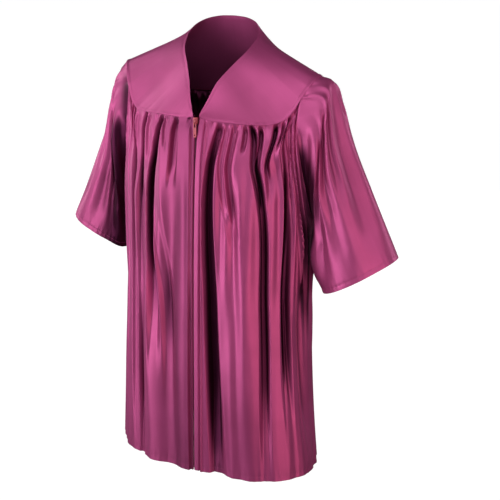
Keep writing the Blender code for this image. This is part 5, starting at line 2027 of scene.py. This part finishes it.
def pick(piece: Piece, test: Callable[[Vector], bool], mode: str = "VERT") -> None:
    """Selects the parts of a piece in edit mode whose middle passes a test.

    Args:
        piece: The piece, in edit mode.
        test: A function of a point.
        mode: VERT, EDGE or FACE.
    """
    bpy.ops.mesh.select_mode(type=mode)
    bpy.ops.mesh.select_all(action="DESELECT")
    bpy.ops.object.mode_set(mode="OBJECT")
    mesh = piece.data
    if mode == "VERT":
        for vertex in mesh.vertices:
            vertex.select = test(vertex.co)
    elif mode == "EDGE":
        for edge in mesh.edges:
            ends = [mesh.vertices[index].co for index in edge.vertices]
            edge.select = test((ends[0] + ends[1]) / 2)
    else:
        for polygon in mesh.polygons:
            polygon.select = test(polygon.center)
    bpy.ops.object.mode_set(mode="EDIT")


def finished(piece: Piece, material: Material, bevel: float = 0.0, smooth: float = 35.0) -> None:
    """Leaves edit mode, rounds the edges and gives a piece its finish.

    Args:
        piece: The piece.
        material: Its finish.
        bevel: The width of its rounded edges.
        smooth: The angle in degrees under which edges are smooth.
    """
    bpy.ops.object.mode_set(mode="OBJECT")
    if bevel:
        rounded = piece.modifiers.new("edges", "BEVEL")
        rounded.width = bevel
        rounded.segments = BEVEL_SEGMENTS
        rounded.limit_method = "ANGLE"
        rounded.angle_limit = math.radians(BEVEL_ANGLE)
        bpy.ops.object.modifier_apply(modifier=rounded.name)
    smoothed(piece, smooth)
    piece.data.materials.clear()
    piece.data.materials.append(material)


def joined(pieces: Sequence[Piece], name: str) -> Piece:
    """Joins pieces to the first one.

    Args:
        pieces: The pieces.
        name: The name of the whole.

    Returns:
        The joined piece.
    """
    fresh()
    for piece in pieces:
        piece.select_set(True)
    bpy.context.view_layer.objects.active = pieces[0]
    if len(pieces) > 1:
        bpy.ops.object.join()
    whole = bpy.context.object
    whole.name = whole.data.name = name
    return whole


@dataclass
class ZipTape:
    """A woven zip tape, sewn behind the edge of a front."""

    front: Front
    behind: float = 0.0024
    thickness: float = 0.0006
    distances: tuple[float, ...] = (0.0016, 0.0030, 0.0046, 0.0062, 0.0078, 0.0094, 0.0110, 0.0126)
    rows: int = 170
    highest: float = 0.008
    lowest: float = 0.996
    flat_size: Pair = (0.016, 0.63)
    flat_area: float = 0.0080

    def build(self, weave: Material) -> Piece:
        """Makes the tape.

        Args:
            weave: Its finish.

        Returns:
            The piece.
        """
        side = self.front.side.name.lower()
        down = np.linspace(self.highest, self.lowest, self.rows)
        share = np.array(self.distances)[None, :] / girth_at(down)[:, None]
        down = np.broadcast_to(down[:, None], share.shape)
        points, facing, depth = self.front.laid(share, down)
        outer = points - facing * (depth + self.behind)[..., None]
        cloth = ClothMesh(f"woven_tape_{side}", outer, facing, self.flat_size, thickness=self.thickness)
        piece = cloth.build(weave)
        worn([piece], f"zip_tape_{side}", TAPE_WEAVE)
        self.front.name
        return piece


@dataclass
class ZipCoil:
    """The closed coil: loops from either tape that lie between each other."""

    form: RobeForm = RobeForm()
    pitch: float = 0.0014
    reach: float = 0.0021
    lap: float = 0.0006
    thick: float = 0.00055
    depth: float = 0.0015
    behind: float = 0.0030
    rounding: float = 0.45
    head: float = 1.3
    smooth: float = 60.0
    top_z: float = -0.0750
    lowest: float = 0.996
    steps: int = 400

    def loop(self, nylon: Material) -> Piece:
        """One loop of the coil, reaching from the wearer's left across the middle.

        Args:
            nylon: Its finish.

        Returns:
            The piece, at the origin.
        """
        wide = self.reach + self.lap
        piece = added("coil_loop", (wide, self.depth, self.thick), ((self.reach - self.lap) / 2, 0.0, 0.0))
        bpy.ops.mesh.bevel(offset=self.rounding * self.thick, segments=1, affect="EDGES")
        pick(piece, lambda point: point.x < -0.2 * self.lap)
        bpy.ops.transform.resize(value=(1.0, 1.0, self.head))
        finished(piece, nylon, smooth=self.smooth)
        return piece

    def build(self, nylon: Material) -> Piece:
        """Makes the whole coil from one loop.

        Args:
            nylon: Its finish.

        Returns:
            The piece.
        """
        loop = self.loop(nylon)
        points = np.empty(3 * len(loop.data.vertices))
        loop.data.vertices.foreach_get("co", points)
        points = points.reshape(-1, 3)
        faces = [list(polygon.vertices) for polygon in loop.data.polygons]
        low = self.form.panel(1, False, np.zeros(1), np.full(1, self.lowest))[0]
        count = int((self.top_z - low[2]) / self.pitch)
        line = self.form.panel(1, False, np.zeros(self.steps), np.linspace(0.0, 1.0, self.steps))
        cloud, quads = [], []
        for index in range(2 * count):
            z = self.top_z - 0.5 * self.pitch * index
            y = np.interp(-z, -line[:, 2], line[:, 1]) + self.behind
            sign = 1 if index % 2 else -1
            cloud.append(mirrored(points, sign) + np.array([0.0, y, z]))
            start = index * len(points)
            quads += [[start + corner for corner in face[::sign]] for face in faces]
        piece = new_piece("nylon_coil", np.concatenate(cloud), quads, nylon)
        bpy.data.objects.remove(loop, do_unlink=True)
        smoothed(piece, self.smooth)
        worn([piece], "zip_chain", COIL_NYLON)
        return piece


@dataclass
class ZipSlider:
    """The painted slider: a front and a back plate on a wedge, with the crown that holds the pull."""

    top_z: float = -0.0622
    bottom_z: float = -0.0742
    top_width: float = 0.0076
    bottom_width: float = 0.0060
    face_y: float = -0.1205
    back_y: float = -0.1145
    plate: float = 0.0016
    crown_top_z: float = -0.0640
    crown_bottom_z: float = -0.0735
    crown_height: float = 0.0034
    crown_width: float = 0.0017
    crown_bar: float = 0.0010
    crown_sunk: float = 0.0004
    crown_start: float = 0.0002
    crown_edge: float = 0.00022
    crown_smooth: float = 50.0
    bends: int = 14
    bend_power: float = 3.0
    corner: float = 0.0018
    corner_segments: int = 6
    plate_edge: float = 0.00035
    back_shrink: float = 0.0004
    wedge_width: float = 0.52
    wedge_tall: float = 0.9
    wedge_thick: float = 1.6
    wedge_edge: float = 0.0002

    def plate_at(self, name: str, y: float, shrink: float, paint: Material) -> Piece:
        """One of the plates, a shield that is wider above.

        Args:
            name: The piece's name.
            y: The middle of its thickness.
            shrink: How much smaller it is than the front plate.
            paint: Its finish.

        Returns:
            The piece.
        """
        middle = (self.top_z + self.bottom_z) / 2
        tall = self.top_z - self.bottom_z - 2 * shrink
        piece = added(name, (self.top_width - 2 * shrink, self.plate, tall), (0.0, y, middle))
        pick(piece, lambda point: point.z < middle)
        bpy.ops.transform.resize(value=(self.bottom_width / self.top_width, 1.0, 1.0))
        beside, beyond = 0.3 * self.bottom_width, 0.4 * tall
        pick(piece, lambda point: abs(point.x) > beside and abs(point.z - middle) > beyond, "EDGE")
        bpy.ops.mesh.bevel(offset=self.corner, segments=self.corner_segments, affect="EDGES")
        finished(piece, paint, bevel=self.plate_edge)
        return piece

    def crown(self, paint: Material) -> Piece:
        """The arch in front of the slider, an extruded bar bent over its height.

        Args:
            paint: Its finish.

        Returns:
            The piece.
        """
        middle = (self.crown_top_z + self.crown_bottom_z) / 2
        half = (self.crown_top_z - self.crown_bottom_z) / 2
        root_y = self.face_y + self.crown_sunk
        rise = self.crown_height - self.crown_bar / 2 + self.crown_sunk
        start = (0.0, root_y, self.crown_top_z - self.crown_bar / 2)
        piece = added("slider_crown", (self.crown_width, self.crown_start, self.crown_bar), start)
        last = Vector(start)
        pick(piece, lambda point: point.y < root_y, "FACE")
        turn = math.pi / self.bends
        for step in range(1, self.bends + 1):
            angle = math.pi * step / self.bends
            along, out = math.cos(angle), math.sin(angle)
            power = (abs(along) ** self.bend_power + abs(out) ** self.bend_power) ** (-1 / self.bend_power)
            z = middle + (half - self.crown_bar / 2) * power * along
            place = Vector((0.0, root_y - rise * power * out, z))
            bpy.ops.mesh.extrude_region_move(TRANSFORM_OT_translate={"value": place - last})
            bpy.ops.transform.rotate(value=turn, orient_axis="X", center_override=place)
            last = place
        finished(piece, paint, bevel=self.crown_edge, smooth=self.crown_smooth)
        return piece

    def build(self, paint: Material) -> Piece:
        """Makes the slider.

        Args:
            paint: Its finish.

        Returns:
            The piece.
        """
        front = self.plate_at("slider_front_plate", self.face_y + self.plate / 2, 0.0, paint)
        back = self.plate_at("slider_back_plate", self.back_y - self.plate / 2, self.back_shrink, paint)
        thick = self.back_y - self.face_y - self.wedge_thick * self.plate
        size = (self.wedge_width * self.top_width, thick, self.wedge_tall * (self.top_z - self.bottom_z))
        place = (0.0, (self.face_y + self.back_y) / 2, (self.top_z + self.bottom_z) / 2)
        wedge = added("slider_wedge", size, place)
        finished(wedge, paint, bevel=self.wedge_edge)
        whole = joined([front, back, wedge, self.crown(paint)], "painted_slider")
        worn([whole], "zip_slider", CORAL_PAINT)
        return whole


@dataclass
class ZipPull:
    """The pull tab on the crown, with its window and its hole."""

    axis_y: float = -0.1217
    axis_z: float = -0.0710
    bar: float = 0.0011
    thickness: float = 0.0012
    top_width: float = 0.0058
    width: float = 0.0050
    end_z: float = -0.0957
    window_width: float = 0.0028
    window_bottom_z: float = -0.0788
    hole_z: float = -0.0915
    hole_radius: float = 0.0011
    hole_sides: int = 24
    end_corner: float = 0.0023
    end_segments: int = 8
    top_corner: float = 0.0012
    top_segments: int = 4
    window_corner: float = 0.45
    window_segments: int = 6
    edge: float = 0.0002

    def cut(self, piece: Piece, cutter: Piece) -> None:
        """Cuts a hole through the plate.

        Args:
            piece: The plate.
            cutter: The hole's form, which is then removed.
        """
        only(piece)
        hole = piece.modifiers.new("hole", "BOOLEAN")
        hole.operation = "DIFFERENCE"
        hole.solver = "EXACT"
        hole.object = cutter
        bpy.ops.object.modifier_apply(modifier=hole.name)
        bpy.data.objects.remove(cutter, do_unlink=True)

    def build(self, paint: Material) -> Piece:
        """Makes the pull.

        Args:
            paint: Its finish.

        Returns:
            The piece.
        """
        top = self.axis_z + self.bar / 2
        middle = (top + self.end_z) / 2
        size = (self.top_width, self.thickness, top - self.end_z)
        piece = added("painted_pull", size, (0.0, self.axis_y, middle))
        pick(piece, lambda point: point.z < middle)
        bpy.ops.transform.resize(value=(self.width / self.top_width, 1.0, 1.0))
        beside, beyond = 0.1 * self.width, 0.4 * (top - self.end_z)
        pick(piece, lambda point: abs(point.x) > beside and point.z < middle - beyond, "EDGE")
        bpy.ops.mesh.bevel(offset=self.end_corner, segments=self.end_segments, affect="EDGES")
        pick(piece, lambda point: abs(point.x) > beside and point.z > middle + beyond, "EDGE")
        bpy.ops.mesh.bevel(offset=self.top_corner, segments=self.top_segments, affect="EDGES")
        window_top = self.axis_z - self.bar / 2
        tall = window_top - self.window_bottom_z
        place = (0.0, self.axis_y, window_top - tall / 2)
        window = added("window", (self.window_width, 3 * self.thickness, tall), place)
        pick(window, lambda point: abs(point.x) > beside and point.z < window_top - 0.9 * tall, "EDGE")
        corner = self.window_corner * self.window_width
        bpy.ops.mesh.bevel(offset=corner, segments=self.window_segments, affect="EDGES")
        self.cut(piece, window)
        fresh()
        bpy.ops.mesh.primitive_cylinder_add(
            vertices=self.hole_sides, radius=self.hole_radius, depth=3 * self.thickness,
            location=(0.0, self.axis_y, self.hole_z), rotation=(math.pi / 2, 0.0, 0.0),
        )
        self.cut(piece, bpy.context.object)
        bpy.ops.object.mode_set(mode="EDIT")
        finished(piece, paint, bevel=self.edge)
        worn([piece], "zip_pull", CORAL_PAINT, "pull_tab")
        return piece


@dataclass
class Studio:
    """A pale floor that fills the view, soft lights and the camera."""

    floor_z: float = -0.95
    floor_size: float = 60.0
    place: Triple = (0.868, -1.906, 0.401)
    around: float = math.radians(23.3)
    down: float = math.radians(19.3)
    lens: float = 88.3
    sensor: float = 36.0
    clip: Pair = (0.05, 100.0)
    world_strength: float = 0.06

    def softbox(self, light: Light) -> None:
        """Hangs a soft light.

        Args:
            light: Its row in the table.
        """
        data = bpy.data.lights.new(light.name, "AREA")
        data.shape = "RECTANGLE"
        data.size, data.size_y = light.size
        data.energy = light.power
        data.color = light.colour
        lamp = bpy.data.objects.new(light.name, data)
        lamp.location = light.place
        lamp.rotation_mode = "QUATERNION"
        lamp.rotation_quaternion = (Vector(light.aim) - Vector(light.place)).to_track_quat("-Z", "Y")
        lamp.visible_camera = False
        bpy.context.scene.collection.objects.link(lamp)

    def build(self, floor: Material) -> None:
        """Sets up the floor, the lights, the world and the camera.

        Args:
            floor: The floor's finish.
        """
        fresh()
        bpy.ops.mesh.primitive_plane_add(size=self.floor_size, location=(0.0, 0.0, self.floor_z))
        ground = bpy.context.object
        ground.name = ground.data.name = "studio_floor"
        ground.data.materials.append(floor)
        ground.visible_glossy = False
        ground.visible_diffuse = False
        for light in SOFTBOXES:
            self.softbox(light)
        bpy.context.scene.view_settings.view_transform = "Standard"
        world = bpy.context.scene.world or bpy.data.worlds.new("studio")
        bpy.context.scene.world = world
        world.use_nodes = True
        shade = world.node_tree.nodes["Background"]
        shade.inputs["Color"].default_value = (1.0, 1.0, 1.0, 1.0)
        shade.inputs["Strength"].default_value = self.world_strength
        camera = bpy.data.objects.new("camera", bpy.data.cameras.new("camera"))
        bpy.context.scene.collection.objects.link(camera)
        flat = math.cos(self.down)
        ahead = Vector((-math.sin(self.around) * flat, math.cos(self.around) * flat, -math.sin(self.down)))
        camera.location = self.place
        camera.rotation_mode = "QUATERNION"
        camera.rotation_quaternion = ahead.to_track_quat("-Z", "Y")
        camera.data.lens = self.lens
        camera.data.sensor_width = self.sensor
        camera.data.clip_start, camera.data.clip_end = self.clip
        bpy.context.scene.camera = camera


def robe_fronts() -> tuple[Front, Front]:
    """The fronts: a wide band and a shadow below the arm on the left one, a narrow band on the right one."""
    gathers = {"gathers": 10, "gather_reach": 0.030, "deeper": 1.6}
    left = Front(
        Pleating(FOLDS_FRONT_LEFT, seed=3, lean=0.35, **gathers), Fullness(seed=5),
        side=Side.LEFT, band=0.0168, band_tone=0.06, arm_shadow=0.85,
    )
    right = Front(
        Pleating(FOLDS_FRONT_RIGHT, seed=8, lean=-0.35, **gathers), Fullness(seed=9),
        side=Side.RIGHT, band=0.0085, band_tone=0.44, band_tone_reach=0.11,
        groove_place=0.0058, band_groove=0.0014, band_ridge=0.0004,
    )
    return left, right


def robe_sleeves() -> list[Sleeve]:
    """The sleeves: the left one with its folds under the arm and a shadow that ends halfway down."""
    shades = {"shade_from": (0.22, 0.40), "shade_turn": 0.5, "shade_ends": (0.45, 0.9)}
    shades["seam_shade"] = (0.19, 0.47)
    rows = ((Side.LEFT, FOLDS_SLEEVE + FOLDS_SLEEVE_LEFT, 14, shades), (Side.RIGHT, FOLDS_SLEEVE, 19, {}))
    sleeves = []
    for side, folds, seed, shade in rows:
        gathers = Pleating(
            folds, gathers=8, gather_reach=0.022, gather_width=0.007, gather_depth=0.0016,
            low=-0.10, high=0.10, seed=seed, deeper=1.5, wall=0.9, round_trip=True,
        )
        waves = Fullness(depth=0.0030, seed=seed + 1, round_trip=True)
        sleeves.append(Sleeve(side, gathers, waves, **shade))
    return sleeves


def main() -> None:
    """Builds the robe piece by piece, then the studio."""
    logging.basicConfig(level=logging.INFO, format="%(name)s: %(message)s")
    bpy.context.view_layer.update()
    satin = SatinFinish().material()
    thread = ThreadFinish().material()
    weave = TapeFinish().material()
    nylon = CoilFinish().material()
    paint = PaintFinish().material()
    made = []
    for front in robe_fronts():
        made += front.build(satin, thread)
        made.append(ZipTape(front).build(weave))
    gathers = Pleating(FOLDS_BACK, gathers=40, gather_reach=0.035, low=-1.0, seed=6, deeper=1.5)
    made += Back(gathers, Fullness(seed=12)).build(satin, thread)
    for side in Side:
        made += YokePart(side, seed=4 + side.value).build(satin, thread)
    made += YokePart(None, flat_size=(0.37, 0.19), flat_area=0.042, seed=11).build(satin, thread)
    for sleeve in robe_sleeves():
        made += sleeve.build(satin, thread)
    made.append(ZipCoil().build(nylon))
    made.append(ZipSlider().build(paint))
    made.append(ZipPull().build(paint))
    for piece in made:
        LOG.info("%s: %d faces", piece.name, len(piece.data.polygons))
    Studio().build(FloorFinish().material())


if __name__ == "__main__":
    main()
